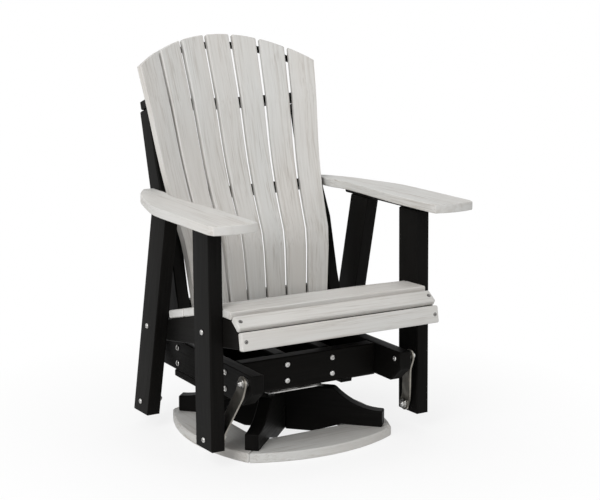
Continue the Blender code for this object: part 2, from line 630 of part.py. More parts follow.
def build_stringers():
    half = BEAM_INNER_REACH - FIT_GAP
    for side, sign in (("left", -1), ("right", 1)):
        x = sign * STRINGER_CENTRE
        piece = board("frame_stringer_" + side, box_outline(half, BOARD_WIDTH / 2), BOARD_THICK,
                      BLACK_POLY, (x, 0, FRAME_MIDDLE), SIDE_VIEW, SWIVEL_AXIS)

        def bores(work, x=x):
            for end in (-1, 1):
                for z in frame_bolt_heights():
                    frame_bolt_bore(work, (x, end * half, z), (0, -end, 0))

        combine(piece, bores, "DIFFERENCE")


def corner_names():
    """The four corners as (name, side, end): side is the sign of X, end that of Y."""
    return [(end_name + "_" + side_name, side, end) for end_name, end in (("front", -1), ("rear", 1))
            for side_name, side in (("left", -1), ("right", 1))]


def hanger_y(end):
    return -FRONT_HANGER_REACH if end < 0 else REAR_HANGER_REACH


def build_upper_pivots():
    """Bolts on which the links swing."""
    profile = pivot_profile(SPACER_LENGTH)
    for corner, side, end in corner_names():
        seat = (side * FRAME_INNER, hanger_y(end), UPPER_PIVOT_HEIGHT)
        start = head_start(seat, (side, 0, 0))
        turned_piece("upper_pivot_bolt_" + corner, profile, ZINC, start, (side, 0, 0), SWIVEL_AXIS)


def build_lower_pivots():
    """Bolts that carry the chair in the links' lower eyes."""
    profile = pivot_profile(LOW_SPACER_LENGTH)
    for corner, side, end in corner_names():
        y, z = (FRONT_PIVOT_Y, FRONT_PIVOT_RISE) if end < 0 else (REAR_PIVOT_Y, REAR_PIVOT_Z)
        start = head_start(on_chair(side * POST_OUTER_X, y, z), (-side, 0, 0))
        turned_piece("lower_pivot_bolt_" + corner, profile, ZINC, start, (-side, 0, 0), CHAIR_PIVOT)


# Swing links

def joggle_share(place_share):
    """How much of the joggle is done at a share of its length: a slope between two short bends."""
    if place_share > 0.5:
        return 1 - joggle_share(1 - place_share)
    if place_share < LINK_BEND_SHARE:
        return max(0.0, place_share) ** 2 / (2 * LINK_BEND_SHARE * (1 - LINK_BEND_SHARE))
    return (place_share - LINK_BEND_SHARE / 2) / (1 - LINK_BEND_SHARE)


def link_plate(name, side, end):
    """A joggled flat link: its upper eye beside the frame, its lower eye beside the post."""
    drop = LOWER_PIVOT_HEIGHT - UPPER_PIVOT_HEIGHT
    step_in = end * LOWER_PIVOT_REACH - hanger_y(end)
    length = math.hypot(drop, step_in)
    heading = math.atan2(drop, step_in)
    half = LINK_WIDTH / 2
    upper = circle_points(0, 0, half, LINK_ROUND_SIDES, heading + math.pi / 2, math.pi, closed=False)
    lower = circle_points(step_in, drop, half, LINK_ROUND_SIDES, heading - math.pi / 2, math.pi, closed=False)
    bore = BOLT_RADIUS + HOLE_PLAY
    eyes = [(0, 0, bore), (step_in, drop, bore)]
    if end > 0:
        eyes[1] = (step_in + FIT_GAP, drop, bore + FIT_GAP, REAR_SLOT_LENGTH)
    mesh = flat_mesh(name, upper + lower, LINK_THICK, eyes)
    down = Vector((math.cos(heading), math.sin(heading), 0))
    run = length - LINK_TOP_FLAT - LINK_LOW_FLAT
    work = bmesh.new()
    work.from_mesh(mesh)
    bend_shares = (0.0, LINK_BEND_SHARE / 2, LINK_BEND_SHARE)
    for station_share in bend_shares + tuple(1 - share for share in bend_shares):
        at = LINK_TOP_FLAT + run * station_share
        geometry = work.verts[:] + work.edges[:] + work.faces[:]
        bmesh.ops.bisect_plane(work, geom=geometry, dist=CUT_TOLERANCE, plane_co=down * at, plane_no=down)
    joggle = side * (LINK_LOW_X - LINK_TOP_X)
    for vert in work.verts:
        vert.co.z += joggle * joggle_share((vert.co.dot(down) - LINK_TOP_FLAT) / run)
    work.to_mesh(mesh)
    work.free()
    location = (side * LINK_TOP_X, hanger_y(end), UPPER_PIVOT_HEIGHT)
    place(name, mesh, LINK_STEEL, location, SIDE_VIEW, SWIVEL_AXIS)


def build_links():
    for corner, side, end in corner_names():
        link_plate("link_" + corner, side, end)


# Posts, cleats and arms

def arm_under(y):
    return ARM_UNDER + math.tan(ARM_SLOPE) * y


def post_top(y):
    return arm_under(y) - (CLEAT_THICK + 2 * FIT_GAP) / math.cos(ARM_SLOPE)


def rear_post_corner(foot_y):
    """Where a raked edge of the rear post, from its foot, meets the underside of the cleat."""
    rake = math.tan(REAR_POST_RAKE)
    height = post_top(foot_y) / (1 + math.tan(ARM_SLOPE) * rake)
    return (foot_y - rake * height, height)


def build_posts():
    bore = BOLT_RADIUS + HOLE_PLAY
    front = [(0, 0), (BOARD_WIDTH, 0), (BOARD_WIDTH, post_top(BOARD_WIDTH)), (0, post_top(0))]
    front_holes = [(FRONT_PIVOT_Y, FRONT_PIVOT_RISE, bore), (SEAT_BOLT_FRONT_Y, SEAT_BOLT_RISE, bore)]
    across = BOARD_WIDTH / math.cos(REAR_POST_RAKE)
    rear = [(REAR_POST_FOOT - across, 0), (REAR_POST_FOOT, 0), rear_post_corner(REAR_POST_FOOT),
            rear_post_corner(REAR_POST_FOOT - across)]
    rear_holes = [(REAR_PIVOT_Y, REAR_PIVOT_Z, bore), (SEAT_BOLT_REAR_Y, SEAT_BOLT_REAR_Z, bore)]
    for side, sign in (("left", -1), ("right", 1)):
        spot = on_chair(sign * POST_CENTRE_X, 0, 0)
        board("front_post_" + side, front, BOARD_THICK, BLACK_POLY, spot, SIDE_VIEW, CHAIR_PIVOT, front_holes)
        board("rear_post_" + side, rear, BOARD_THICK, BLACK_POLY, spot, SIDE_VIEW, CHAIR_PIVOT, rear_holes)


def build_cleats():
    top_gap = FIT_GAP / math.cos(ARM_SLOPE)
    low_gap = (FIT_GAP + CLEAT_THICK) / math.cos(ARM_SLOPE)
    outline = [(y, arm_under(y) - low_gap) for y in (-CLEAT_OVERHANG, CLEAT_END)]
    outline += [(y, arm_under(y) - top_gap) for y in (CLEAT_END, -CLEAT_OVERHANG)]
    for side, sign in (("left", -1), ("right", 1)):
        board("arm_cleat_" + side, outline, BOARD_THICK, BLACK_POLY,
              on_chair(sign * POST_CENTRE_X, 0, 0), SIDE_VIEW, CHAIR_PIVOT)


def smooth_run(points, steps):
    """Points on a smooth curve through the given ones, which it keeps."""
    run = []
    for step in range(len(points) - 1):
        before = points[max(step - 1, 0)]
        start = points[step]
        end = points[step + 1]
        after = points[min(step + 2, len(points) - 1)]
        for part in range(steps):
            t = part / steps
            run.append(tuple(
                (2 * start[k] + (end[k] - before[k]) * t
                 + (2 * before[k] - 5 * start[k] + 4 * end[k] - after[k]) * t ** 2
                 + (3 * start[k] - before[k] - 3 * end[k] + after[k]) * t ** 3) / 2
                for k in range(len(start))))
    run.append(tuple(points[-1]))
    return run


def arm_outline(sign):
    """Plan outline of an arm: broad front with a bowed end, outer edge drawn in to a narrow tail."""
    def spot(shares):
        return (ARM_INNER + ARM_WIDTH * shares[1], ARM_FRONT + ARM_LENGTH * shares[0])

    inner_limit = UPRIGHT_OUTER_X + FIT_GAP
    outer = smooth_run([spot(shares) for shares in ARM_OUTER_SHARES], ARM_CURVE_STEPS)
    rear = [spot(shares) for shares in ARM_REAR_SHARES]
    inner = smooth_run([spot(shares) for shares in ARM_INNER_SHARES], ARM_CURVE_STEPS)
    front = []
    for across in ARM_FRONT_SHARES:
        bulge = 1 - (2 * across - 1) ** 2
        front.append((ARM_INNER + ARM_WIDTH * across, ARM_FRONT - ARM_FRONT_BULGE * bulge))
    points = [(max(x, inner_limit), y) for x, y in outer + rear + inner + front]
    return [(sign * x, y / math.cos(ARM_SLOPE)) for x, y in points]


def build_arms():
    middle = Matrix.Rotation(ARM_SLOPE, 3, "X") @ Vector((0, 0, ARM_THICK / 2))
    spot = on_chair(0, middle.y, ARM_UNDER + middle.z)
    for side, sign in (("left", -1), ("right", 1)):
        board("arm_" + side, arm_outline(sign), ARM_THICK, WOOD_POLY, spot, (ARM_SLOPE, 0, 0), CHAIR_PIVOT,
              segments=2)


# Seat

def deck_break():
    """Front top edge of the sloping part of the deck."""
    return (DECK_BREAK_Y, DECK_TOP)


def deck_under(y):
    """Height of the sloping deck's underside."""
    break_y, break_z = deck_break()
    return break_z - math.tan(DECK_SLOPE) * (y - break_y) - DECK_THICK / math.cos(DECK_SLOPE)


def nose_edges():
    """The nose slat's face: its upper edge, its lower edge, and the unit vector into the slat."""
    upper = Vector((0, DECK_FRONT - NOSE_FORWARD, DECK_TOP - NOSE_DROP))
    down = Vector((0, -math.cos(NOSE_SLOPE), -math.sin(NOSE_SLOPE)))
    inward = Vector((0, math.sin(NOSE_SLOPE), -math.cos(NOSE_SLOPE)))
    return upper, upper + down * NOSE_WIDTH, inward


def apron_edges():
    """The apron's face: its upper edge, its lower edge, and the unit vector into the apron."""
    top = nose_edges()[1] + Vector((0, -APRON_FORWARD, -APRON_DROP))
    down = Vector((0, -math.sin(APRON_LEAN), -math.cos(APRON_LEAN)))
    inward = Vector((0, math.cos(APRON_LEAN), -math.sin(APRON_LEAN)))
    return top, top + down * APRON_HEIGHT, inward


def seat_boards():
    """Every board of the seat: name, middle of its face, width, thickness, and tilt about X."""
    half = BOARD_WIDTH / 2
    rows = [("seat_slat_1", Vector((0, DECK_FRONT + half, DECK_TOP)), BOARD_WIDTH, DECK_THICK, 0.0)]
    break_y, break_z = deck_break()
    slope = Vector((0, math.cos(DECK_SLOPE), -math.sin(DECK_SLOPE)))
    for row in range(DECK_SLOPED_COUNT):
        reach = half + row * DECK_PITCH
        middle = Vector((0, break_y, break_z)) + slope * reach
        rows.append(("seat_slat_%d" % (row + 2), middle, BOARD_WIDTH, DECK_THICK, -DECK_SLOPE))
    upper, lower, _ = nose_edges()
    rows.append(("seat_nose", (upper + lower) / 2, NOSE_WIDTH, TRIM_THICK, NOSE_SLOPE))
    top, bottom, _ = apron_edges()
    rows.append(("seat_apron", (top + bottom) / 2, APRON_HEIGHT, TRIM_THICK, math.pi / 2 - APRON_LEAN))
    return rows


def build_seat_boards():
    half = CLEAR_HALF_WIDTH - FIT_GAP
    for name, face, width, thick, tilt in seat_boards():
        middle = face - Matrix.Rotation(tilt, 3, "X") @ Vector((0, 0, thick / 2))
        board(name, box_outline(half, width / 2), thick, WOOD_POLY, on_chair(*middle), (tilt, 0, 0),
              CHAIR_PIVOT)


def meeting(start, direction, other, other_direction):
    """Where two lines in the side view cross, as (y, z)."""
    across = direction[0] * other_direction[1] - direction[1] * other_direction[0]
    gap = (other[0] - start[0], other[1] - start[1])
    reach = (gap[0] * other_direction[1] - gap[1] * other_direction[0]) / across
    return (start[0] + direction[0] * reach, start[1] + direction[1] * reach)


def rail_outline():
    """Side outline of a seat rail: it fits under the apron, nose and deck, over a straight lower edge."""
    depth = TRIM_THICK + FIT_GAP
    top, bottom, into_apron = apron_edges()
    upper, lower, into_nose = nose_edges()
    apron_line = ((bottom + into_apron * depth).yz, (top - bottom).yz)
    nose_line = ((lower + into_nose * depth).yz, (upper - lower).yz)
    flat_line = (Vector((0, DECK_TOP - DECK_THICK - FIT_GAP)), Vector((1, 0)))
    deck_line = (Vector((0, deck_under(0) - FIT_GAP / math.cos(DECK_SLOPE))),
                 Vector((math.cos(DECK_SLOPE), -math.sin(DECK_SLOPE))))
    fall = Vector((math.cos(SEAT_RAIL_SLOPE), -math.sin(SEAT_RAIL_SLOPE)))
    square = Vector((math.sin(SEAT_RAIL_SLOPE), math.cos(SEAT_RAIL_SLOPE)))
    low_line = (Vector((SEAT_BOLT_FRONT_Y, SEAT_BOLT_RISE)) - square * BOARD_WIDTH / 2, fall)
    end_line = (Vector((SEAT_RAIL_END, SEAT_BOLT_REAR_Z)), Vector((-math.tan(REAR_POST_RAKE), 1)))
    lines = [low_line, end_line, deck_line, flat_line, nose_line, apron_line]
    return [meeting(*lines[step - 1], *lines[step]) for step in range(len(lines))]


def build_seat_rails():
    """Side rails of the seat, each with the two bolts that hold it to its posts."""
    spots = ((SEAT_BOLT_FRONT_Y, SEAT_BOLT_RISE, RAIL_INNER_X),
             (SEAT_BOLT_REAR_Y, SEAT_BOLT_REAR_Z, UPRIGHT_INNER_X))
    for side, sign in (("left", -1), ("right", 1)):
        rail = board("seat_rail_" + side, rail_outline(), BOARD_THICK, BLACK_POLY,
                     on_chair(sign * RAIL_CENTRE_X, 0, 0), SIDE_VIEW, CHAIR_PIVOT)

        def bolts(work, sign=sign):
            for y, z, nut_x in spots:
                grip = POST_OUTER_X - nut_x + 2 * FIT_GAP
                profile = bolt_profile([(BOLT_RADIUS, grip)] + nut_parts())
                start = head_start(on_chair(sign * POST_OUTER_X, y, z), (-sign, 0, 0))
                add_turned(work, profile, along(start, (-sign, 0, 0)), BOLT_SIDES)

        combine(rail, bolts, "UNION")


# Back

def table_value(table, place_share):
    """Smooth value from a table of (place, value) shares, carried on past both ends."""
    last = len(table) - 1
    slopes = []
    for step in range(last + 1):
        low = table[max(step - 1, 0)]
        high = table[min(step + 1, last)]
        slopes.append((high[1] - low[1]) / (high[0] - low[0]))
    if place_share <= table[0][0]:
        return table[0][1] + slopes[0] * (place_share - table[0][0])
    if place_share >= table[last][0]:
        return table[last][1] + slopes[last] * (place_share - table[last][0])
    step = max(k for k in range(last) if table[k][0] <= place_share)
    (start, low), (end, high) = table[step], table[step + 1]
    width = end - start
    t = (place_share - start) / width
    return ((2 * t ** 3 - 3 * t ** 2 + 1) * low + (t ** 3 - 2 * t ** 2 + t) * width * slopes[step]
            + (3 * t ** 2 - 2 * t ** 3) * high + (t ** 3 - t ** 2) * width * slopes[step + 1])


def back_front(z):
    """Y of the slats' front faces on the middle line at a height."""
    return BACK_FOOT_Y + BACK_SETBACK * table_value(BACK_PROFILE_SHARES, (z - BACK_BOTTOM) / BACK_HEIGHT)


def back_lean(z):
    """Slope of the back over a rail's height, as Y per Z."""
    reach = rail_band() / 2
    return (back_front(z + reach) - back_front(z - reach)) / (2 * reach)


def rail_band():
    """Height over which a slat stays straight behind which a rail lies."""
    return BACK_RAIL_HEIGHT + 2 * BOARD_EDGE


def bow(x):
    """How far the bowed back comes forward at a distance from the middle."""
    return x * x / (2 * BACK_BOW_RADIUS)


def fan_line(line, z):
    """X of the fan's dividing line at a height; line 0 is the left edge, 7 the right one."""
    share = (z - BACK_BOTTOM) / BACK_HEIGHT
    half = BACK_HALF_BOTTOM + (BACK_HALF_TOP - BACK_HALF_BOTTOM) * share
    return half * (2 * line / BACK_SLAT_COUNT - 1)


def faceted_bow(x, z):
    """The bow where each slat is flat across: straight from one dividing line to the next."""
    lines = [fan_line(line, z) for line in range(BACK_SLAT_COUNT + 1)]
    inside = [line for line in range(BACK_SLAT_COUNT) if lines[line] <= x]
    line = max(inside) if inside else 0
    left, right = lines[line], lines[line + 1]
    return bow(left) + (bow(right) - bow(left)) * (x - left) / (right - left)


def arch_top(x):
    """Height of the arched top at a distance from the middle."""
    drop = BACK_ARCH_RADIUS - math.sqrt(BACK_ARCH_RADIUS ** 2 - x * x)
    return BACK_BOTTOM + BACK_HEIGHT - drop


def back_point(x, z, depth, bow_here, bow_slope):
    """Point behind the back's front surface, at a depth square to it."""
    square = Vector((bow_slope, 1, -back_lean(z))).normalized()
    return Vector((x, back_front(z) - bow_here, z)) + square * depth


def bend_mesh(mesh, cuts, near, far, curve_x):
    """Divide a flat front-view mesh along the cuts and lay it on the bent back between two depths."""
    work = bmesh.new()
    work.from_mesh(mesh)
    for normal, value in cuts:
        geometry = work.verts[:] + work.edges[:] + work.faces[:]
        bmesh.ops.bisect_plane(work, geom=geometry, dist=CUT_TOLERANCE, plane_co=normal * value,
                               plane_no=normal)
    for vert in work.verts:
        x, z, forward = vert.co
        depth = near if forward > 0 else far
        vert.co = back_point(x, z, depth, *curve_x(x, z))
    bmesh.ops.recalc_face_normals(work, faces=work.faces)
    work.to_mesh(mesh)
    work.free()


def slat_bow(line):
    """Bow and its slope on the slat between two dividing lines, which is flat across."""
    def across(x, z):
        left = fan_line(line, z)
        right = fan_line(line + 1, z)
        slope = (bow(right) - bow(left)) / (right - left)
        return bow(left) + slope * (x - left), slope
    return across


def rail_bow(x, z):
    return faceted_bow(x, z), x / BACK_BOW_RADIUS


def slat_outline(line):
    """Front outline of one tapered slat with its share of the arched top."""
    widening = (BACK_SLAT_SPACE_HIGH - BACK_SLAT_SPACE_LOW) / BACK_HEIGHT

    def edges_at(z):
        half_space = (BACK_SLAT_SPACE_LOW + widening * (z - BACK_BOTTOM)) / 2
        return fan_line(line, z) + half_space, fan_line(line + 1, z) - half_space

    low_left, low_right = edges_at(BACK_BOTTOM)
    widest = edges_at(BACK_BOTTOM + BACK_HEIGHT)
    left, right = [edges_at(arch_top(x))[side] for side, x in enumerate(widest)]
    arch = [right + (left - right) * step / BACK_ARCH_STEPS for step in range(BACK_ARCH_STEPS + 1)]
    return [(low_left, BACK_BOTTOM), (low_right, BACK_BOTTOM), *[(x, arch_top(x)) for x in arch]]


def slat_stations():
    """Heights at which the bent slats are divided: straight behind each rail, short in between."""
    half = rail_band() / 2
    ends = [LOWER_RAIL_RISE + half, MIDDLE_RAIL_RISE - half, MIDDLE_RAIL_RISE + half,
            UPPER_RAIL_RISE - half, UPPER_RAIL_RISE + half, BACK_BOTTOM + BACK_HEIGHT]
    heights = []
    for low, high in zip(ends[::2], ends[1::2]):
        steps = math.ceil((high - low) / BACK_STATION_LENGTH)
        heights += [low + (high - low) * step / steps for step in range(steps + 1)]
    return heights[:-1]


def build_back_slats():
    upward = Vector((0, 1, 0))
    cuts = [(upward, height) for height in slat_stations()]
    for line in range(BACK_SLAT_COUNT):
        name = "back_slat_%d" % (line + 1)
        mesh = flat_mesh(name, slat_outline(line), BACK_SLAT_THICK)
        bend_mesh(mesh, cuts, 0, BACK_SLAT_THICK, slat_bow(line))
        piece = place(name, mesh, WOOD_POLY, on_chair(0, 0, 0), (0, 0, 0), CHAIR_PIVOT)
        round_edges(piece, BOARD_EDGE, 1)


def rail_front(x, rise):
    """How far a rail's front edge lies behind the middle slat's face, in the rail's own sloping plane."""
    level = math.cos(math.atan(back_lean(rise)))
    across = math.hypot(1, level * x / BACK_BOW_RADIUS)
    return (BACK_SLAT_THICK + RAIL_SLAT_PLAY) * across - faceted_bow(x, rise) * level


def back_rail(name, half, rise):
    """A flat board sawn to the slats' bow, square to the back where it crosses."""
    lines = [fan_line(line, rise) for line in range(1, BACK_SLAT_COUNT)]
    columns = [-half] + [x for x in lines if abs(x) < half] + [half]
    front = [(x, rail_front(x, rise)) for x in columns]
    rear = [(x, y + BACK_RAIL_DEPTH) for x, y in reversed(front)]
    board(name, front + rear, BACK_RAIL_HEIGHT, BLACK_POLY, on_chair(0, back_front(rise), rise),
          (-math.atan(back_lean(rise)), 0, 0), CHAIR_PIVOT)


def build_top_rail():
    """Arched rail that follows the slats' tops."""
    near = BACK_SLAT_THICK + RAIL_SLAT_PLAY
    reach = TOP_RAIL_HALF
    steps = 2 * BACK_SLAT_COUNT
    columns = [-reach + 2 * reach * step / steps for step in range(steps + 1)]
    upper = [(x, arch_top(x) - TOP_RAIL_DROP) for x in columns]
    lower = [(x, z - TOP_RAIL_HEIGHT) for x, z in reversed(upper)]
    mesh = flat_mesh("back_rail_top", lower + upper, TOP_RAIL_DEPTH)
    middle = arch_top(0) - TOP_RAIL_DROP
    sideways = Vector((1, 0, 0))
    cuts = [(sideways, fan_line(line, middle)) for line in range(1, BACK_SLAT_COUNT)]
    bend_mesh(mesh, cuts, near, near + TOP_RAIL_DEPTH, rail_bow)
    piece = place("back_rail_top", mesh, BLACK_POLY, on_chair(0, 0, 0), (0, 0, 0), CHAIR_PIVOT)
    round_edges(piece, BOARD_EDGE, 1)


def build_back_rails():
    build_top_rail()
    inside = UPRIGHT_INNER_X - FIT_GAP
    back_rail("back_rail_upper", UPPER_RAIL_HALF, UPPER_RAIL_RISE)
    back_rail("back_rail_middle", inside, MIDDLE_RAIL_RISE)
    back_rail("back_rail_lower", inside, LOWER_RAIL_RISE)


def upright_rear(z):
    return UPRIGHT_MARK_Y + math.tan(UPRIGHT_RAKE) * (z - UPRIGHT_MARK_Z)


def upright_outline():
    """Side outline of an upright: straight rear edge, front edge cut to the slats, top under a rail."""
    across = BOARD_WIDTH / math.cos(UPRIGHT_RAKE)
    near = BACK_SLAT_THICK + UPRIGHT_SLAT_PLAY
    lean = math.atan(back_lean(UPPER_RAIL_RISE))
    rearward = Vector((math.cos(lean), -math.sin(lean)))
    upward = Vector((math.sin(lean), math.cos(lean)))
    corner = Vector((back_front(UPPER_RAIL_RISE), UPPER_RAIL_RISE))
    under = corner - upward * (BACK_RAIL_HEIGHT / 2 + FIT_GAP)
    top_front = under + rearward * (rail_front(UPRIGHT_INNER_X, UPPER_RAIL_RISE) + UPRIGHT_SLAT_PLAY)
    top_rear = meeting(under, rearward, (upright_rear(0), 0), (math.tan(UPRIGHT_RAKE), 1))
    foot = upright_rear(UPRIGHT_FOOT)
    outline = [(foot - across, UPRIGHT_FOOT), (foot, UPRIGHT_FOOT), top_rear, tuple(top_front)]
    slope = UPRIGHT_INNER_X / BACK_BOW_RADIUS
    for step in range(1, UPRIGHT_STATIONS):
        z = top_front.y + (BACK_BOTTOM - top_front.y) * step / UPRIGHT_STATIONS
        spot = back_point(UPRIGHT_INNER_X, z, near, bow(UPRIGHT_INNER_X), slope)
        if spot.y > upright_rear(spot.z) - across:
            outline.append((spot.y, spot.z))
    return outline


def build_uprights():
    holes = [(SEAT_BOLT_REAR_Y, SEAT_BOLT_REAR_Z, BOLT_RADIUS + HOLE_PLAY)]
    for side, sign in (("left", -1), ("right", 1)):
        board("back_upright_" + side, upright_outline(), UPRIGHT_THICK, BLACK_POLY,
              on_chair(sign * UPRIGHT_CENTRE_X, 0, 0), SIDE_VIEW, CHAIR_PIVOT, holes)


build_ring()
build_legs()
build_swivel()
build_mounting_boards()
build_frame_sides()
build_beams()
build_stringers()
build_upper_pivots()
build_links()
build_lower_pivots()
build_posts()
build_cleats()
build_arms()
build_seat_boards()
build_seat_rails()
build_back_slats()
build_back_rails()
build_uprights()
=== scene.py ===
# Looks of a swivel glider in weathered grey and black poly lumber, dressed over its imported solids.
# Metres, +Z up. The swivel axis stands at X and Y zero, the sitter faces -Y, and left is at -X.
import json
import math

import bmesh
import bpy
import numpy as np
from mathutils import Matrix, Vector


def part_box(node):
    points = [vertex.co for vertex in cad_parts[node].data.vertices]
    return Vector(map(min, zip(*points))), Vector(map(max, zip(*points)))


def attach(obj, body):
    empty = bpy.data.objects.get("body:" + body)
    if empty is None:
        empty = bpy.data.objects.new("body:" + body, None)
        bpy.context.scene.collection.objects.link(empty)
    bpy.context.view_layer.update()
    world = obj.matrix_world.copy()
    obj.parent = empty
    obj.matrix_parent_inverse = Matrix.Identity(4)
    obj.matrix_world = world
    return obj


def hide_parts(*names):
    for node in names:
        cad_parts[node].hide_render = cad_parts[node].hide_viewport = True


mm = 0.001

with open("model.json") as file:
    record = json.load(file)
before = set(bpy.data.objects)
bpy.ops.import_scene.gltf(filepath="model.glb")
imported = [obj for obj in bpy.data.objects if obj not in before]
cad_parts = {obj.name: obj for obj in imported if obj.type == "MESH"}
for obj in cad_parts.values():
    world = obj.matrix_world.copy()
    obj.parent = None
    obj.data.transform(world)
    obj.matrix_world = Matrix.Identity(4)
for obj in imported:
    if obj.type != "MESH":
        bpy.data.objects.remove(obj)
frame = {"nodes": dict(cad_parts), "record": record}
scene = bpy.context.scene
nodes = frame["nodes"]
bodyOf = {name: body for body, names in frame["record"]["behaviour"]["bodies"].items() for name in names}
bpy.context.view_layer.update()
scene.view_settings.view_transform = "Standard"
print("frame loaded,", len(nodes), "solids")

# The chair hangs tilted back a little on its front lower pivots
chairHang = dict(pivot=(0, -196 * mm, 76 * mm), recline=1.4, pivotRise=25 * mm, pivotSetback=44.5 * mm)
chairPlace = (Matrix.Translation(chairHang["pivot"])
              @ Matrix.Rotation(math.radians(-chairHang["recline"]), 4, "X")
              @ Matrix.Translation((0, -chairHang["pivotSetback"], -chairHang["pivotRise"])))
chairTurn = chairPlace.to_3x3()


# Camera, at the photograph's viewing angle

cameraSettings = dict(place=(-1.943, -3.3329, 1.2746), heading=31.047, tilt=9.197, roll=0.248, lens=84.156,
                      shift=-0.08)


def makeCamera(settings):
    camera = bpy.data.objects.new("viewCamera", bpy.data.cameras.new("viewCamera"))
    camera.data.lens = settings["lens"]
    camera.data.shift_y = settings["shift"]
    camera.matrix_world = (Matrix.Translation(settings["place"])
                           @ Matrix.Rotation(-math.radians(settings["heading"]), 4, "Z")
                           @ Matrix.Rotation(math.radians(90 - settings["tilt"]), 4, "X")
                           @ Matrix.Rotation(math.radians(settings["roll"]), 4, "Z"))
    scene.collection.objects.link(camera)
    scene.camera = camera


makeCamera(cameraSettings)
print("camera placed")


# Shader building blocks

def addNode(tree, kind, x, y, **values):
    node = tree.nodes.new(kind)
    node.location = (x, y)
    for name, value in values.items():
        setattr(node, name, value)
    return node


def feed(tree, socket, source):
    if isinstance(source, bpy.types.NodeSocket):
        tree.links.new(source, socket)
    else:
        socket.default_value = source


def remap(tree, x, y, source, sourceRange, resultRange=(0.0, 1.0)):
    node = addNode(tree, "ShaderNodeMapRange", x, y, clamp=True)
    for label, value in zip(("Value", "From Min", "From Max", "To Min", "To Max"),
                            (source, *sourceRange, *resultRange)):
        feed(tree, node.inputs[label], value)
    return node.outputs["Result"]


def combine(tree, x, y, operation, first, second):
    node = addNode(tree, "ShaderNodeMath", x, y, operation=operation)
    feed(tree, node.inputs[0], first)
    feed(tree, node.inputs[1], second)
    return node.outputs[0]


def opaque(colour):
    return (*colour, 1)


def mixColour(tree, x, y, share, first, second):
    node = addNode(tree, "ShaderNodeMix", x, y, data_type="RGBA")
    feed(tree, node.inputs[0], share)
    feed(tree, node.inputs[6], first)
    feed(tree, node.inputs[7], second)
    return node.outputs[2]


def cloud(tree, x, y, place, stretch, detail, roughness, distortion=0.0):
    scaled = addNode(tree, "ShaderNodeVectorMath", x, y, operation="MULTIPLY")
    feed(tree, scaled.inputs[0], place)
    scaled.inputs[1].default_value = stretch
    noise = addNode(tree, "ShaderNodeTexNoise", x + 180, y)
    tree.links.new(scaled.outputs[0], noise.inputs["Vector"])
    for label, value in (("Scale", 1), ("Detail", detail), ("Roughness", roughness),
                         ("Distortion", distortion)):
        noise.inputs[label].default_value = value
    return noise.outputs[0]


def newGroup(name, inputs, outputs):  # a place is a vector, everything else a number
    tree = bpy.data.node_groups.new(name, "ShaderNodeTree")
    for way, labels in (("INPUT", inputs), ("OUTPUT", outputs)):
        for label in labels:
            kind = "NodeSocketVector" if label == "Place" else "NodeSocketFloat"
            tree.interface.new_socket(label, in_out=way, socket_type=kind)
    return tree, addNode(tree, "NodeGroupInput", -900, 0), addNode(tree, "NodeGroupOutput", 900, 0)


# Grain of extruded poly lumber: long soft streaks in patches, fine drawn hairlines, an embossed skin

grainSettings = dict(  # each stretch is per metre, along the board first
    streak=dict(stretch=(5.5, 170, 170), detail=4, roughness=0.6, distortion=0.7),
    hairline=dict(stretch=(10.0, 430, 430), detail=2, roughness=0.5, distortion=0.2),
    patch=dict(stretch=(2.6, 22, 22), detail=2, roughness=0.5),
    tint=dict(stretch=(1.7, 6, 6), detail=1, roughness=0.5),
    darkRange=(0.5, 0.3), paleRange=(0.52, 0.72), hairlineRange=(0.56, 0.72), patchRange=(0.36, 0.66),
    tintRange=(0.38, 0.62), heightRange=(0.35, 0.65), leastStrength=0.12, hairlineHeight=0.6,
    streakHeight=0.4,
)


def makeGrainGroup(settings):
    tree, start, end = newGroup("boardGrain", ("Place", "Contrast"),
                                ("Dark", "Pale", "Hairline", "Tint", "Height"))
    place = start.outputs["Place"]
    streak = cloud(tree, -700, 300, place, **settings["streak"])
    hairline = cloud(tree, -700, 0, place, **settings["hairline"])
    patch = cloud(tree, -700, -300, place, **settings["patch"])
    tint = cloud(tree, -700, -600, place, **settings["tint"])
    patched = remap(tree, -250, -300, patch, settings["patchRange"], (settings["leastStrength"], 1.0))
    strength = combine(tree, 0, -300, "MULTIPLY", patched, start.outputs["Contrast"])
    dark = combine(tree, 300, 300, "MULTIPLY", remap(tree, -250, 300, streak, settings["darkRange"]),
                   strength)
    pale = remap(tree, -250, 150, streak, settings["paleRange"])
    drawn = combine(tree, 300, 0, "MULTIPLY", remap(tree, -250, 0, hairline, settings["hairlineRange"]),
                    strength)
    height = combine(tree, 500, -150, "ADD",
                     combine(tree, 300, -150, "MULTIPLY", hairline, settings["hairlineHeight"]),
                     combine(tree, 300, -450, "MULTIPLY", streak, settings["streakHeight"]))
    for label, source in (("Dark", dark), ("Pale", pale), ("Hairline", drawn),
                          ("Tint", remap(tree, -250, -600, tint, settings["tintRange"])), ("Height", height)):
        tree.links.new(source, end.inputs[label])
    return tree


# Fine scratches and smudges on bare metal

scratchSettings = dict(
    scratch=dict(stretch=(420, 420, 60), detail=3, roughness=0.6),  # per metre
    smudge=dict(stretch=(38, 38, 38), detail=3, roughness=0.55),
    scratchRange=(0.35, 0.7), smudgeRange=(0.35, 0.65),
)


def makeScratchGroup(settings):
    tree, start, end = newGroup("metalScratch", ("Place",), ("Scratch", "Smudge"))
    place = start.outputs["Place"]
    scratch = cloud(tree, -700, 150, place, **settings["scratch"])
    smudge = cloud(tree, -700, -150, place, **settings["smudge"])
    tree.links.new(remap(tree, -250, 150, scratch, settings["scratchRange"]), end.inputs["Scratch"])
    tree.links.new(remap(tree, -250, -150, smudge, settings["smudgeRange"]), end.inputs["Smudge"])
    return tree


grainGroup = makeGrainGroup(grainSettings)
scratchGroup = makeScratchGroup(scratchSettings)


# Materials

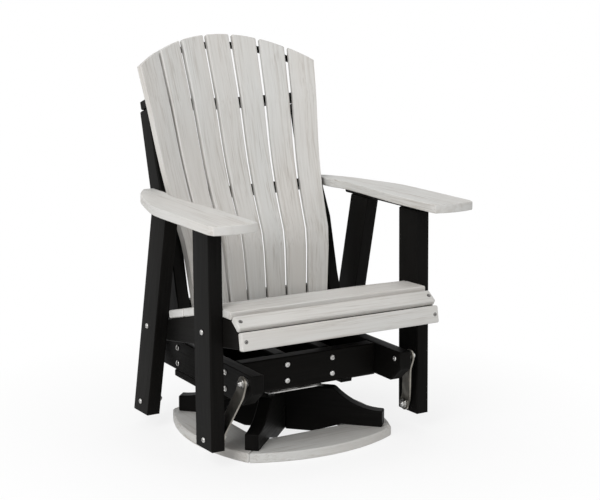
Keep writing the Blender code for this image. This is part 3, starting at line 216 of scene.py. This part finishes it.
def newMaterial(name):
    material = bpy.data.materials.new(name)
    material.use_nodes = True
    return material, material.node_tree, material.node_tree.nodes["Principled BSDF"]


def roughenSurface(tree, shader, height, heightRange, settings):  # roughness and bump follow one height
    rough = remap(tree, -500, 0, height, heightRange, settings["rough"])
    tree.links.new(rough, shader.inputs["Roughness"])
    bump = addNode(tree, "ShaderNodeBump", -250, -200)
    bump.inputs["Strength"].default_value = settings["bump"]
    bump.inputs["Distance"].default_value = settings["bumpDepth"]
    tree.links.new(height, bump.inputs["Height"])
    tree.links.new(bump.outputs["Normal"], shader.inputs["Normal"])


paleSettings = dict(cool=(0.612, 0.608, 0.588), warm=(0.612, 0.592, 0.562), pale=(0.69, 0.69, 0.68),
                    streak=(0.405, 0.37, 0.33), hairline=(0.30, 0.275, 0.25), paleShare=0.35, streakShare=1.0,
                    hairlineShare=0.5, contrast=0.95, rough=(0.46, 0.62), specular=0.32, bump=0.35,
                    bumpDepth=0.35 * mm)
blackSettings = dict(cool=(0.0062, 0.006, 0.0057), warm=(0.0072, 0.0067, 0.0061),
                     pale=(0.0095, 0.009, 0.0084), streak=(0.0036, 0.0034, 0.0031),
                     hairline=(0.002, 0.002, 0.002), paleShare=0.5, streakShare=1.0, hairlineShare=0.5,
                     contrast=0.8, rough=(0.34, 0.5), specular=0.03, bump=0.45, bumpDepth=0.35 * mm)


def makePoly(name, settings):
    material, tree, shader = newMaterial(name)
    place = addNode(tree, "ShaderNodeAttribute", -1700, 0, attribute_name="grainPlace")
    grain = addNode(tree, "ShaderNodeGroup", -1450, 0, node_tree=grainGroup)
    tree.links.new(place.outputs["Vector"], grain.inputs["Place"])
    grain.inputs["Contrast"].default_value = settings["contrast"]
    colour = mixColour(tree, -1000, 400, grain.outputs["Tint"], opaque(settings["cool"]),
                       opaque(settings["warm"]))
    for x, label, tone in ((-750, "Pale", "pale"), (-500, "Dark", "streak"), (-250, "Hairline", "hairline")):
        share = combine(tree, x - 250, 150, "MULTIPLY", grain.outputs[label], settings[tone + "Share"])
        colour = mixColour(tree, x, 400, share, colour, opaque(settings[tone]))
    tree.links.new(colour, shader.inputs["Base Color"])
    shader.inputs["Specular IOR Level"].default_value = settings["specular"]
    roughenSurface(tree, shader, grain.outputs["Height"], grainSettings["heightRange"], settings)
    return material


zincSettings = dict(light=(0.66, 0.66, 0.65), dull=(0.42, 0.41, 0.395), rough=(0.2, 0.42), bump=0.08,
                    bumpDepth=0.1 * mm)
linkSettings = dict(light=(0.34, 0.32, 0.285), dull=(0.21, 0.198, 0.175), rough=(0.28, 0.5), bump=0.12,
                    bumpDepth=0.15 * mm)
screwSettings = dict(light=(0.33, 0.32, 0.31), dull=(0.12, 0.115, 0.11), rough=(0.3, 0.55), bump=0.1,
                     bumpDepth=0.1 * mm)


def makeMetal(name, settings):
    material, tree, shader = newMaterial(name)
    place = addNode(tree, "ShaderNodeTexCoord", -1200, 0)
    scratch = addNode(tree, "ShaderNodeGroup", -950, 0, node_tree=scratchGroup)
    tree.links.new(place.outputs["Object"], scratch.inputs["Place"])
    colour = mixColour(tree, -600, 300, scratch.outputs["Smudge"], opaque(settings["light"]),
                       opaque(settings["dull"]))
    tree.links.new(colour, shader.inputs["Base Color"])
    shader.inputs["Metallic"].default_value = 1.0
    roughenSurface(tree, shader, scratch.outputs["Scratch"], (0.0, 1.0), settings)
    return material


palePoly = makePoly("weatheredPoly", paleSettings)
blackPoly = makePoly("blackPoly", blackSettings)
zincSteel = makeMetal("zincSteel", zincSettings)
linkSteel = makeMetal("linkSteel", linkSettings)
screwSteel = makeMetal("screwSteel", screwSettings)
print("materials ready")


# Every new piece ends here

sharpAngles = dict(board=52, link=40, turned=38)  # degrees: a sharper turn stays an edge


def finishPiece(name, bm, material, body, kind, replaced=()):
    bm.normal_update()
    mesh = bpy.data.meshes.new(name)
    bm.to_mesh(mesh)
    bm.free()
    if "custom_normal" in mesh.attributes:
        mesh.attributes.remove(mesh.attributes["custom_normal"])
    mesh.materials.append(material)
    for face in mesh.polygons:
        face.material_index = 0
    mesh.shade_smooth()
    mesh.set_sharp_from_angle(angle=math.radians(sharpAngles[kind]))
    piece = bpy.data.objects.new(name, mesh)
    scene.collection.objects.link(piece)
    even = piece.modifiers.new("evenNormals", "WEIGHTED_NORMAL")
    even.keep_sharp = True
    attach(piece, body)
    if replaced:
        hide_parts(*replaced)
    return piece


def pieceName(node):
    first, *rest = node.split("_")
    return first + "".join(word.capitalize() for word in rest)


def sidedName(stem, side):
    return stem + ("Left" if side < 0 else "Right")


# Working on copies of the solids

solidSettings = dict(weld=0.02 * mm, flatAngle=0.6)


def openSolid(node, settings=solidSettings):
    bm = bmesh.new()
    bm.from_mesh(nodes[node].data)
    bmesh.ops.remove_doubles(bm, verts=bm.verts, dist=settings["weld"])
    return bm


def flatten(bm, settings=solidSettings):  # loose triangles become whole faces
    bmesh.ops.dissolve_limit(bm, angle_limit=math.radians(settings["flatAngle"]), verts=bm.verts,
                             edges=bm.edges, use_dissolve_boundaries=False)
    bm.normal_update()


def easeEdges(bm, edges, width, segments):
    bmesh.ops.bevel(bm, geom=edges, offset=width, offset_type="OFFSET", segments=segments, profile=0.5,
                    affect="EDGES", material=-1, clamp_overlap=True)


# Boards: each solid's own shape with its edges rounded further, and grain that runs along the board

boardSettings = dict(thick=38 * mm, cutPlay=0.1 * mm, roundLow=33, roundHigh=60, rounding=0.8 * mm,
                     seedStep=(1.37, 0.613, 0.291), endShare=0.7, endSqueeze=0.1, bendDegree=7)
outerFaces = {  # axis across each bolted board, and how far out its outer face stands
    "frame_side": (0, 252 * mm),
    "frame_front_beam": (1, 162 * mm),
    "frame_rear_beam": (1, 162 * mm),
    "seat_rail": (0, 305.7 * mm),
}


def cutFasteners(bm, axis, outer, settings):  # takes off the bolts that the solid is one with
    low = outer - settings["thick"] - settings["cutPlay"]
    high = outer + settings["cutPlay"]
    stray = [vert for vert in bm.verts if not low <= abs(vert.co[axis]) <= high]
    bmesh.ops.delete(bm, geom=stray, context="VERTS")
    bmesh.ops.holes_fill(bm, edges=[edge for edge in bm.edges if edge.is_boundary], sides=0)


def roundBoard(bm, settings):
    flatten(bm)
    chamfers = [edge for edge in bm.edges if len(edge.link_faces) == 2 and edge.is_convex
                and settings["roundLow"] < math.degrees(edge.calc_face_angle()) < settings["roundHigh"]]
    easeEdges(bm, chamfers, settings["rounding"], 1)


def setGrain(piece, along, count, settings, bend=None):
    along = Vector(along).normalized()
    across = along.orthogonal().normalized()
    through = along.cross(across)
    seed = Vector(settings["seedStep"]) * count
    mesh = piece.data
    places = []
    for face in mesh.polygons:
        squeeze = settings["endSqueeze"] if abs(face.normal.dot(along)) > settings["endShare"] else 1
        for corner in face.loop_indices:
            vert = mesh.vertices[mesh.loops[corner].vertex_index]
            spot = vert.co - bend(vert.co.z) if bend else vert.co
            places += [spot.dot(along) + seed.x, spot.dot(across) * squeeze + seed.y,
                       spot.dot(through) * squeeze + seed.z]
    stored = mesh.attributes.new("grainPlace", "FLOAT_VECTOR", "CORNER")
    stored.data.foreach_set("vector", places)


def leaning(angle):  # direction in the chair's own frame, by its lean back from upright
    return chairTurn @ Vector((0, math.sin(math.radians(angle)), math.cos(math.radians(angle))))


sides = ("left", "right")
ends = ("front", "rear")
railLevels = ("top", "upper", "middle", "lower")
crosswise, lengthwise = (1, 0, 0), (0, 1, 0)
ringGrain = dict(front=crosswise, right=lengthwise, rear=crosswise, left=lengthwise)
boardRows = [  # solid, material and direction of its grain; the bent slats' grain follows their bend
    *[("ring_board_" + side, palePoly, grain) for side, grain in ringGrain.items()],
    ("cross_leg_lower", blackPoly, (1, 1, 0)),
    ("cross_leg_upper", blackPoly, (-1, 1, 0)),
    *[("mounting_board_" + end, blackPoly, crosswise) for end in ends],
    *[("frame_side_" + side, blackPoly, lengthwise) for side in sides],
    *[("frame_stringer_" + side, blackPoly, lengthwise) for side in sides],
    *[("frame_%s_beam" % end, blackPoly, crosswise) for end in ends],
    *[("front_post_" + side, blackPoly, leaning(0)) for side in sides],
    *[("rear_post_" + side, blackPoly, leaning(-14.25)) for side in sides],
    *[("arm_cleat_" + side, blackPoly, leaning(88.2)) for side in sides],
    *[("arm_" + side, palePoly, leaning(88.2)) for side in sides],
    *[("seat_slat_%d" % row, palePoly, crosswise) for row in range(1, 5)],
    ("seat_nose", palePoly, crosswise),
    ("seat_apron", palePoly, crosswise),
    *[("seat_rail_" + side, blackPoly, leaning(98.2)) for side in sides],
    *[("back_slat_%d" % line, palePoly, None) for line in range(1, 8)],
    *[("back_rail_" + level, blackPoly, crosswise) for level in railLevels],
    *[("back_upright_" + side, blackPoly, leaning(14.9)) for side in sides],
]


def slatLine(piece, settings):  # middle line of a bent slat: X and Y at each height
    spots = np.array([vert.co for vert in piece.data.vertices])
    sideways = np.polyfit(spots[:, 2], spots[:, 0], 1)
    rearward = np.polyfit(spots[:, 2], spots[:, 1], settings["bendDegree"])
    return lambda height: Vector((np.polyval(sideways, height), np.polyval(rearward, height), 0))


def makeBoards(rows, settings):
    for count, (node, material, grain) in enumerate(rows):
        bm = openSolid(node)
        for start, (axis, outer) in outerFaces.items():
            if node.startswith(start):
                cutFasteners(bm, axis, outer, settings)
        roundBoard(bm, settings)
        piece = finishPiece(pieceName(node), bm, material, bodyOf[node], "board", [node])
        if grain is None:
            setGrain(piece, (0, 0, 1), count, settings, slatLine(piece, settings))
        else:
            setGrain(piece, grain, count, settings)


makeBoards(boardRows, boardSettings)
print("boards dressed:", len(boardRows))


# Swing links: flat bars with eased rims

linkShape = dict(rim=0.7 * mm, rimAngle=60, rimSteps=2)


def makeLinks(settings):
    for node in [name for name in nodes if name.startswith("link_")]:
        bm = openSolid(node)
        flatten(bm)
        rims = [edge for edge in bm.edges if edge.is_convex
                and math.degrees(edge.calc_face_angle()) > settings["rimAngle"]]
        easeEdges(bm, rims, settings["rim"], settings["rimSteps"])
        finishPiece(pieceName(node), bm, linkSteel, bodyOf[node], "link", [node])


makeLinks(linkShape)
print("links dressed")


# Turned parts and star sockets

turnSettings = dict(weld=0.005 * mm, axisRoom=0.4 * mm, socketPlay=0.1 * mm)


def along(start, direction):
    turn = Vector(direction).to_track_quat("Z", "Y").to_matrix().to_4x4()
    return Matrix.Translation(Vector(start)) @ turn


def addTurned(bm, profile, place, steps):  # profile of (radius, distance) that starts and ends on the axis
    verts = [bm.verts.new((radius, 0, distance)) for radius, distance in profile]
    edges = [bm.edges.new(pair) for pair in zip(verts, verts[1:])]
    before = set(bm.verts) - set(verts)
    bmesh.ops.spin(bm, geom=verts + edges, cent=(0, 0, 0), axis=(0, 0, 1), angle=2 * math.pi, steps=steps,
                   use_merge=True)
    turned = [vert for vert in bm.verts if vert not in before]
    bmesh.ops.remove_doubles(bm, verts=turned, dist=turnSettings["weld"])
    turned = [vert for vert in bm.verts if vert not in before]
    faces = list({face for vert in turned for face in vert.link_faces})
    bmesh.ops.recalc_face_normals(bm, faces=faces)
    bmesh.ops.transform(bm, matrix=place, verts=turned)
    return turned


def makeStar(turned, place, settings):  # the socket's round wall becomes a star
    back = place.inverted()
    play = turnSettings["socketPlay"]
    for vert in turned:
        spot = back @ vert.co
        reach = math.hypot(spot.x, spot.y)
        inSocket = turnSettings["axisRoom"] < reach < settings["socket"] + play
        if inSocket and spot.z < settings["socketDepth"] + play:
            swell = 1 + settings["lobeShare"] * math.cos(settings["lobes"] * math.atan2(spot.y, spot.x))
            vert.co = place @ Vector((spot.x * swell, spot.y * swell, spot.z))


# Bolts: button heads, washers, lock nuts and sleeves

headSettings = dict(radius=7.5 * mm, height=4.4 * mm, crown=3.4 * mm, crownTop=0.1 * mm, domeTop=0.25 * mm,
                    rim=0.65 * mm, rimEase=0.2 * mm, rimFoot=0.15 * mm, socket=2.5 * mm,
                    socketDepth=2.2 * mm, socketFloor=0.92, lip=0.35 * mm, lipTop=0.02 * mm, lobes=6,
                    lobeShare=0.13, shank=5 * mm, domeSteps=6, steps=36)


def addHead(bm, seat, direction, settings, shankLength):
    radius, height, crown = settings["radius"], settings["height"], settings["crown"]
    socket, depth, lip = settings["socket"], settings["socketDepth"], settings["lip"]
    shank, shankEnd = settings["shank"], height + shankLength
    domeTop, domeSteps = settings["domeTop"], settings["domeSteps"]
    domeWidth, domeDepth = radius - crown, height - domeTop - settings["rim"]
    turns = [math.pi / 2 * step / domeSteps for step in range(1, domeSteps + 1)]
    dome = [(crown + domeWidth * math.sin(turn), domeTop + domeDepth * (1 - math.cos(turn)))
            for turn in turns]
    profile = [(0, depth), (socket * settings["socketFloor"], depth), (socket, lip),
               (socket + lip, settings["lipTop"]), (crown, settings["crownTop"]), *dome,
               (radius, height - settings["rimFoot"]), (radius - settings["rimEase"], height),
               (shank, height), (shank, shankEnd), (0, shankEnd)]
    place = along(seat, direction) @ Matrix.Translation((0, 0, -height))
    makeStar(addTurned(bm, profile, place, settings["steps"]), place, settings)


washerSettings = dict(radius=13 * mm, thick=2 * mm, rim=0.35 * mm, steps=36)


def addWasher(bm, seat, direction, settings):
    radius, thick, rim = settings["radius"], settings["thick"], settings["rim"]
    profile = [(0, 0), (radius - rim, 0), (radius, rim), (radius, thick - rim), (radius - rim, thick),
               (0, thick)]
    addTurned(bm, profile, along(seat, direction), settings["steps"])


nutSettings = dict(radius=9.5 * mm, height=8 * mm, hexShare=0.68, turn=0.3, ease=0.5 * mm, easeSteps=2,
                   collar=7.6 * mm, shoulder=1.0 * mm, shoulderEase=0.6 * mm, lip=0.2 * mm, bolt=5 * mm,
                   mouth=0.7 * mm, mouthEase=0.2 * mm, mouthDepth=0.6 * mm, pitch=0.9 * mm,
                   threadDepth=0.5 * mm, threadEnd=2 * mm, tipEase=0.9 * mm, steps=30)


def addNut(bm, seat, direction, settings):  # with the bolt's thread end standing out of it
    place = along(seat, direction)
    hexHeight = settings["height"] * settings["hexShare"]
    hexPlace = place @ Matrix.Translation((0, 0, hexHeight / 2)) @ Matrix.Rotation(settings["turn"], 4, "Z")
    made = bmesh.ops.create_cone(bm, cap_ends=True, segments=6, radius1=settings["radius"],
                                 radius2=settings["radius"], depth=hexHeight, matrix=hexPlace)
    easeEdges(bm, list({edge for vert in made["verts"] for edge in vert.link_edges}), settings["ease"],
              settings["easeSteps"])
    collar, top, bolt = settings["collar"], settings["height"], settings["bolt"]
    mouth, threadStart = bolt + settings["mouth"], top - settings["mouthDepth"]
    groove = bolt - settings["threadDepth"]
    cap = [(0, hexHeight - settings["ease"]), (collar, hexHeight - settings["ease"]),
           (collar, top - settings["shoulder"]), (collar - settings["shoulderEase"], top - settings["lip"]),
           (mouth, top), (mouth - settings["mouthEase"], threadStart)]
    thread = [(groove, threadStart)]
    for ridge in range(int(settings["threadEnd"] / settings["pitch"]) + 1):
        foot = threadStart + settings["pitch"] * ridge
        thread += [(bolt, foot + settings["pitch"] / 2), (groove, foot + settings["pitch"])]
    tip = top + settings["threadEnd"]
    addTurned(bm, [*cap, *thread, (bolt - settings["tipEase"], tip), (0, tip)], place, settings["steps"])


sleeveSettings = dict(radius=12 * mm, ease=0.4 * mm, start=38.6 * mm, upper=9 * mm, lower=8 * mm, steps=36)


def addSleeve(bm, start, direction, length, settings):
    radius, ease = settings["radius"], settings["ease"]
    profile = [(0, 0), (radius - ease, 0), (radius, ease), (radius, length - ease), (radius - ease, length),
               (0, length)]
    addTurned(bm, profile, along(start, direction), settings["steps"])


def makePivots():
    for node in [name for name in nodes if "_pivot_bolt_" in name]:
        low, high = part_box(node)
        middle = (low + high) / 2
        side = 1 if middle.x > 0 else -1
        outward = node.startswith("upper")
        direction = Vector((side if outward else -side, 0, 0))
        reach = sorted((low.x, high.x), key=abs, reverse=not outward)  # head end first
        seat = Vector((reach[0], middle.y, middle.z)) + direction * headSettings["height"]
        stack = washerSettings["thick"] + nutSettings["height"] + nutSettings["threadEnd"]
        tail = Vector((reach[1], middle.y, middle.z)) - direction * stack
        bm = bmesh.new()
        addHead(bm, seat, direction, headSettings, (tail - seat).length + washerSettings["thick"])
        addSleeve(bm, seat + direction * sleeveSettings["start"], direction,
                  sleeveSettings["upper" if outward else "lower"], sleeveSettings)
        addWasher(bm, tail, direction, washerSettings)
        addNut(bm, tail + direction * washerSettings["thick"], direction, nutSettings)
        finishPiece(pieceName(node), bm, zincSteel, bodyOf[node], "turned", [node])


makePivots()
print("pivot bolts made")

frameHeads = {**headSettings, "radius": 8.2 * mm, "crown": 3.8 * mm}
frameBolts = dict(beamMiddle=143 * mm, stringer=72 * mm, heights=(187.3 * mm, 232.3 * mm), stub=12 * mm)


def makeFrameBolts(settings):
    sideFace, beamFace = outerFaces["frame_side"][1], outerFaces["frame_front_beam"][1]
    for side in (-1, 1):
        bm = bmesh.new()
        for end in (-1, 1):
            for height in settings["heights"]:
                addHead(bm, (side * sideFace, end * settings["beamMiddle"], height), (-side, 0, 0),
                        frameHeads, settings["stub"])
        finishPiece(sidedName("frameSideBolts", side), bm, zincSteel, "swivel_frame", "turned")
    for end in (-1, 1):
        bm = bmesh.new()
        for side in (-1, 1):
            for height in settings["heights"]:
                addHead(bm, (side * settings["stringer"], end * beamFace, height), (0, -end, 0), frameHeads,
                        settings["stub"])
        finishPiece("frameBeamBolts" + ("Front" if end < 0 else "Rear"), bm, zincSteel, "swivel_frame",
                    "turned")


makeFrameBolts(frameBolts)

# The seat's bolts run from the posts' outer faces to nuts on the rails and, at the rear, on the uprights
seatBolts = dict(postFace=344 * mm, front=(44.5 * mm, 312.5 * mm), rear=(380.98 * mm, 264.01 * mm))


def makeSeatBolts(settings):
    railInner = outerFaces["seat_rail"][1] - boardSettings["thick"]
    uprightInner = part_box("back_upright_right")[0].x
    for side in (-1, 1):
        inward = Vector((-side, 0, 0))
        bm = bmesh.new()
        for (y, z), nutFace in ((settings["front"], railInner), (settings["rear"], uprightInner)):
            addHead(bm, chairPlace @ Vector((side * settings["postFace"], y, z)), inward, headSettings,
                    settings["postFace"] - nutFace + washerSettings["thick"])
            seat = chairPlace @ Vector((side * nutFace, y, z))
            addWasher(bm, seat, inward, washerSettings)
            addNut(bm, seat + inward * washerSettings["thick"], inward, nutSettings)
        finishPiece(sidedName("seatBolts", side), bm, zincSteel, "chair", "turned")


makeSeatBolts(seatBolts)
print("frame and seat bolts made")


# Countersunk star screws, each in a dark ring of painted shade where the gap round the sunk head would be

screwShape = dict(  # the crown's points are shares of the radius and of the stand
    radius=4.3 * mm, stand=0.35 * mm, crown=((0.6, 1.0), (0.9, 0.6)), sunk=3 * mm, socket=1.7 * mm,
    socketDepth=1.4 * mm, socketFloor=0.9, lipShare=0.8, lobes=6, lobeShare=0.16, rim=5.2 * mm,
    # rim and the two values after it size a thin dark ring of black poly: painted shade round each head
    rimStand=0.06 * mm, rimSwell=0.1 * mm, steps=24,
)


def addScrew(bm, rims, seat, direction, settings):
    place = along(seat, direction)
    radius, stand, sunk = settings["radius"], settings["stand"], settings["sunk"]
    socket, depth, rim = settings["socket"], settings["socketDepth"], settings["rim"]
    crown = [(radius * out, -stand * up) for out, up in settings["crown"]]
    profile = [(0, depth), (socket * settings["socketFloor"], depth), (socket, -stand * settings["lipShare"]),
               *crown, (radius, 0), (radius, sunk), (0, sunk)]
    makeStar(addTurned(bm, profile, place, settings["steps"]), place, settings)
    # the dark ring is painted shade: a black disc standing just proud of the board round the head
    addTurned(rims, [(0, -settings["rimStand"]), (rim, -settings["rimStand"]),
                     (rim + settings["rimSwell"], settings["rimSwell"]), (rim, sunk), (0, sunk)], place,
              settings["steps"])


def finishScrews(stem, bm, rims):
    # the ring pieces carry the painted shade round the heads
    finishPiece(stem + "Rims", rims, blackPoly, "chair", "turned")
    finishPiece(stem + "s", bm, screwSteel, "chair", "turned")


trimScrews = dict(across=293 * mm, spots=((-71.6 * mm, 356.6 * mm, 36), (-100.7 * mm, 309.1 * mm, 81)))


def makeTrimScrews(settings):  # nose first, then apron: Y, Z and tilt in the chair's own frame
    bm, rims = bmesh.new(), bmesh.new()
    for y, z, tilt in settings["spots"]:
        for side in (-1, 1):
            addScrew(bm, rims, chairPlace @ Vector((side * settings["across"], y, z)), -leaning(-tilt),
                     screwShape)
    finishScrews("trimScrew", bm, rims)


makeTrimScrews(trimScrews)

railScrews = dict(rearward=0.8, leastArea=400 * mm * mm)


def makeRailScrews(settings):  # one in each rear facet of the back's rails, where they would hold the slats
    bm, rims = bmesh.new(), bmesh.new()
    for level in railLevels:
        rail = openSolid("back_rail_" + level)
        flatten(rail)
        for face in rail.faces:
            if face.normal.y > settings["rearward"] and face.calc_area() > settings["leastArea"]:
                addScrew(bm, rims, face.calc_center_median(), -face.normal, screwShape)
        rail.free()
    finishScrews("railScrew", bm, rims)


makeRailScrews(railScrews)
print("trim and rail screws made")

# The bearing keeps its solids
for node in ("swivel_lower_plate", "swivel_upper_plate", "swivel_ball_cage"):
    for holder in nodes[node].material_slots:
        holder.material = zincSteel


# Studio: pale floor, soft lamps, white background

studioSettings = dict(floorRadius=9.0, floorSides=96, floorColour=(0.93, 0.93, 0.93), fadeStart=0.4,
                      fadeEnd=1.1, nearGlow=0.8, drop=0.4 * mm, skyStrength=0.43)
lampRows = [  # name, place, target, size, watts
    ("keySoftbox", (-3.4, -2.0, 3.0), (0, 0, 0.5), 3.0, 128),
    ("frontSoftbox", (2.2, -4.2, 2.2), (0, 0, 0.5), 2.4, 20),
    ("topSoftbox", (0.3, 0.6, 3.9), (0, 0, 0.4), 2.6, 24),
]


def seenDirectly(tree, x, y):
    path = addNode(tree, "ShaderNodeLightPath", x, y)
    first = combine(tree, x + 200, y, "MAXIMUM", path.outputs["Is Camera Ray"], path.outputs["Is Glossy Ray"])
    return combine(tree, x + 400, y, "MAXIMUM", first, path.outputs["Is Transmission Ray"])


def makeWorld(settings):
    world = bpy.data.worlds.new("studio")
    scene.world = world
    world.use_nodes = True
    tree = world.node_tree
    tree.nodes.clear()
    seen = addNode(tree, "ShaderNodeBackground", 0, 150)
    seen.inputs["Color"].default_value = (1, 1, 1, 1)
    lit = addNode(tree, "ShaderNodeBackground", 0, -150)
    lit.inputs["Color"].default_value = (1, 1, 1, 1)
    lit.inputs["Strength"].default_value = settings["skyStrength"]
    mix = addNode(tree, "ShaderNodeMixShader", 250, 0)
    tree.links.new(seenDirectly(tree, -600, 300), mix.inputs[0])
    tree.links.new(lit.outputs[0], mix.inputs[1])
    tree.links.new(seen.outputs[0], mix.inputs[2])
    tree.links.new(mix.outputs[0], addNode(tree, "ShaderNodeOutputWorld", 450, 0).inputs[0])


def makeFloor(settings):
    bm = bmesh.new()
    bmesh.ops.create_circle(bm, cap_ends=True, segments=settings["floorSides"],
                            radius=settings["floorRadius"],
                            matrix=Matrix.Translation((0, 0, -settings["drop"])))
    mesh = bpy.data.meshes.new("studioFloor")
    bm.to_mesh(mesh)
    bm.free()
    floor = bpy.data.objects.new("studioFloor", mesh)
    scene.collection.objects.link(floor)
    material = bpy.data.materials.new("studioFloor")
    material.use_nodes = True
    tree = material.node_tree
    tree.nodes.clear()
    place = addNode(tree, "ShaderNodeTexCoord", -900, 0)
    reach = addNode(tree, "ShaderNodeVectorMath", -700, 0, operation="LENGTH")
    tree.links.new(place.outputs["Object"], reach.inputs[0])
    fade = remap(tree, -500, 0, reach.outputs["Value"], (settings["fadeStart"], settings["fadeEnd"]),
                 (settings["nearGlow"], 1.0))
    share = combine(tree, -200, 0, "MULTIPLY", fade, seenDirectly(tree, -900, 400))
    matt = addNode(tree, "ShaderNodeBsdfDiffuse", -200, -200)
    matt.inputs["Color"].default_value = opaque(settings["floorColour"])
    glow = addNode(tree, "ShaderNodeEmission", -200, -350)
    mix = addNode(tree, "ShaderNodeMixShader", 50, 0)
    tree.links.new(share, mix.inputs[0])
    tree.links.new(matt.outputs[0], mix.inputs[1])
    tree.links.new(glow.outputs[0], mix.inputs[2])
    tree.links.new(mix.outputs[0], addNode(tree, "ShaderNodeOutputMaterial", 250, 0).inputs[0])
    mesh.materials.append(material)


def makeLamps(rows):
    for name, place, target, size, watts in rows:
        lamp = bpy.data.objects.new(name, bpy.data.lights.new(name, "AREA"))
        lamp.data.shape = "DISK"
        lamp.data.size = size
        lamp.data.energy = watts
        lamp.location = place
        lamp.rotation_euler = (Vector(target) - Vector(place)).to_track_quat("-Z", "Y").to_euler()
        scene.collection.objects.link(lamp)


makeWorld(studioSettings)
makeFloor(studioSettings)
makeLamps(lampRows)
print("studio ready")
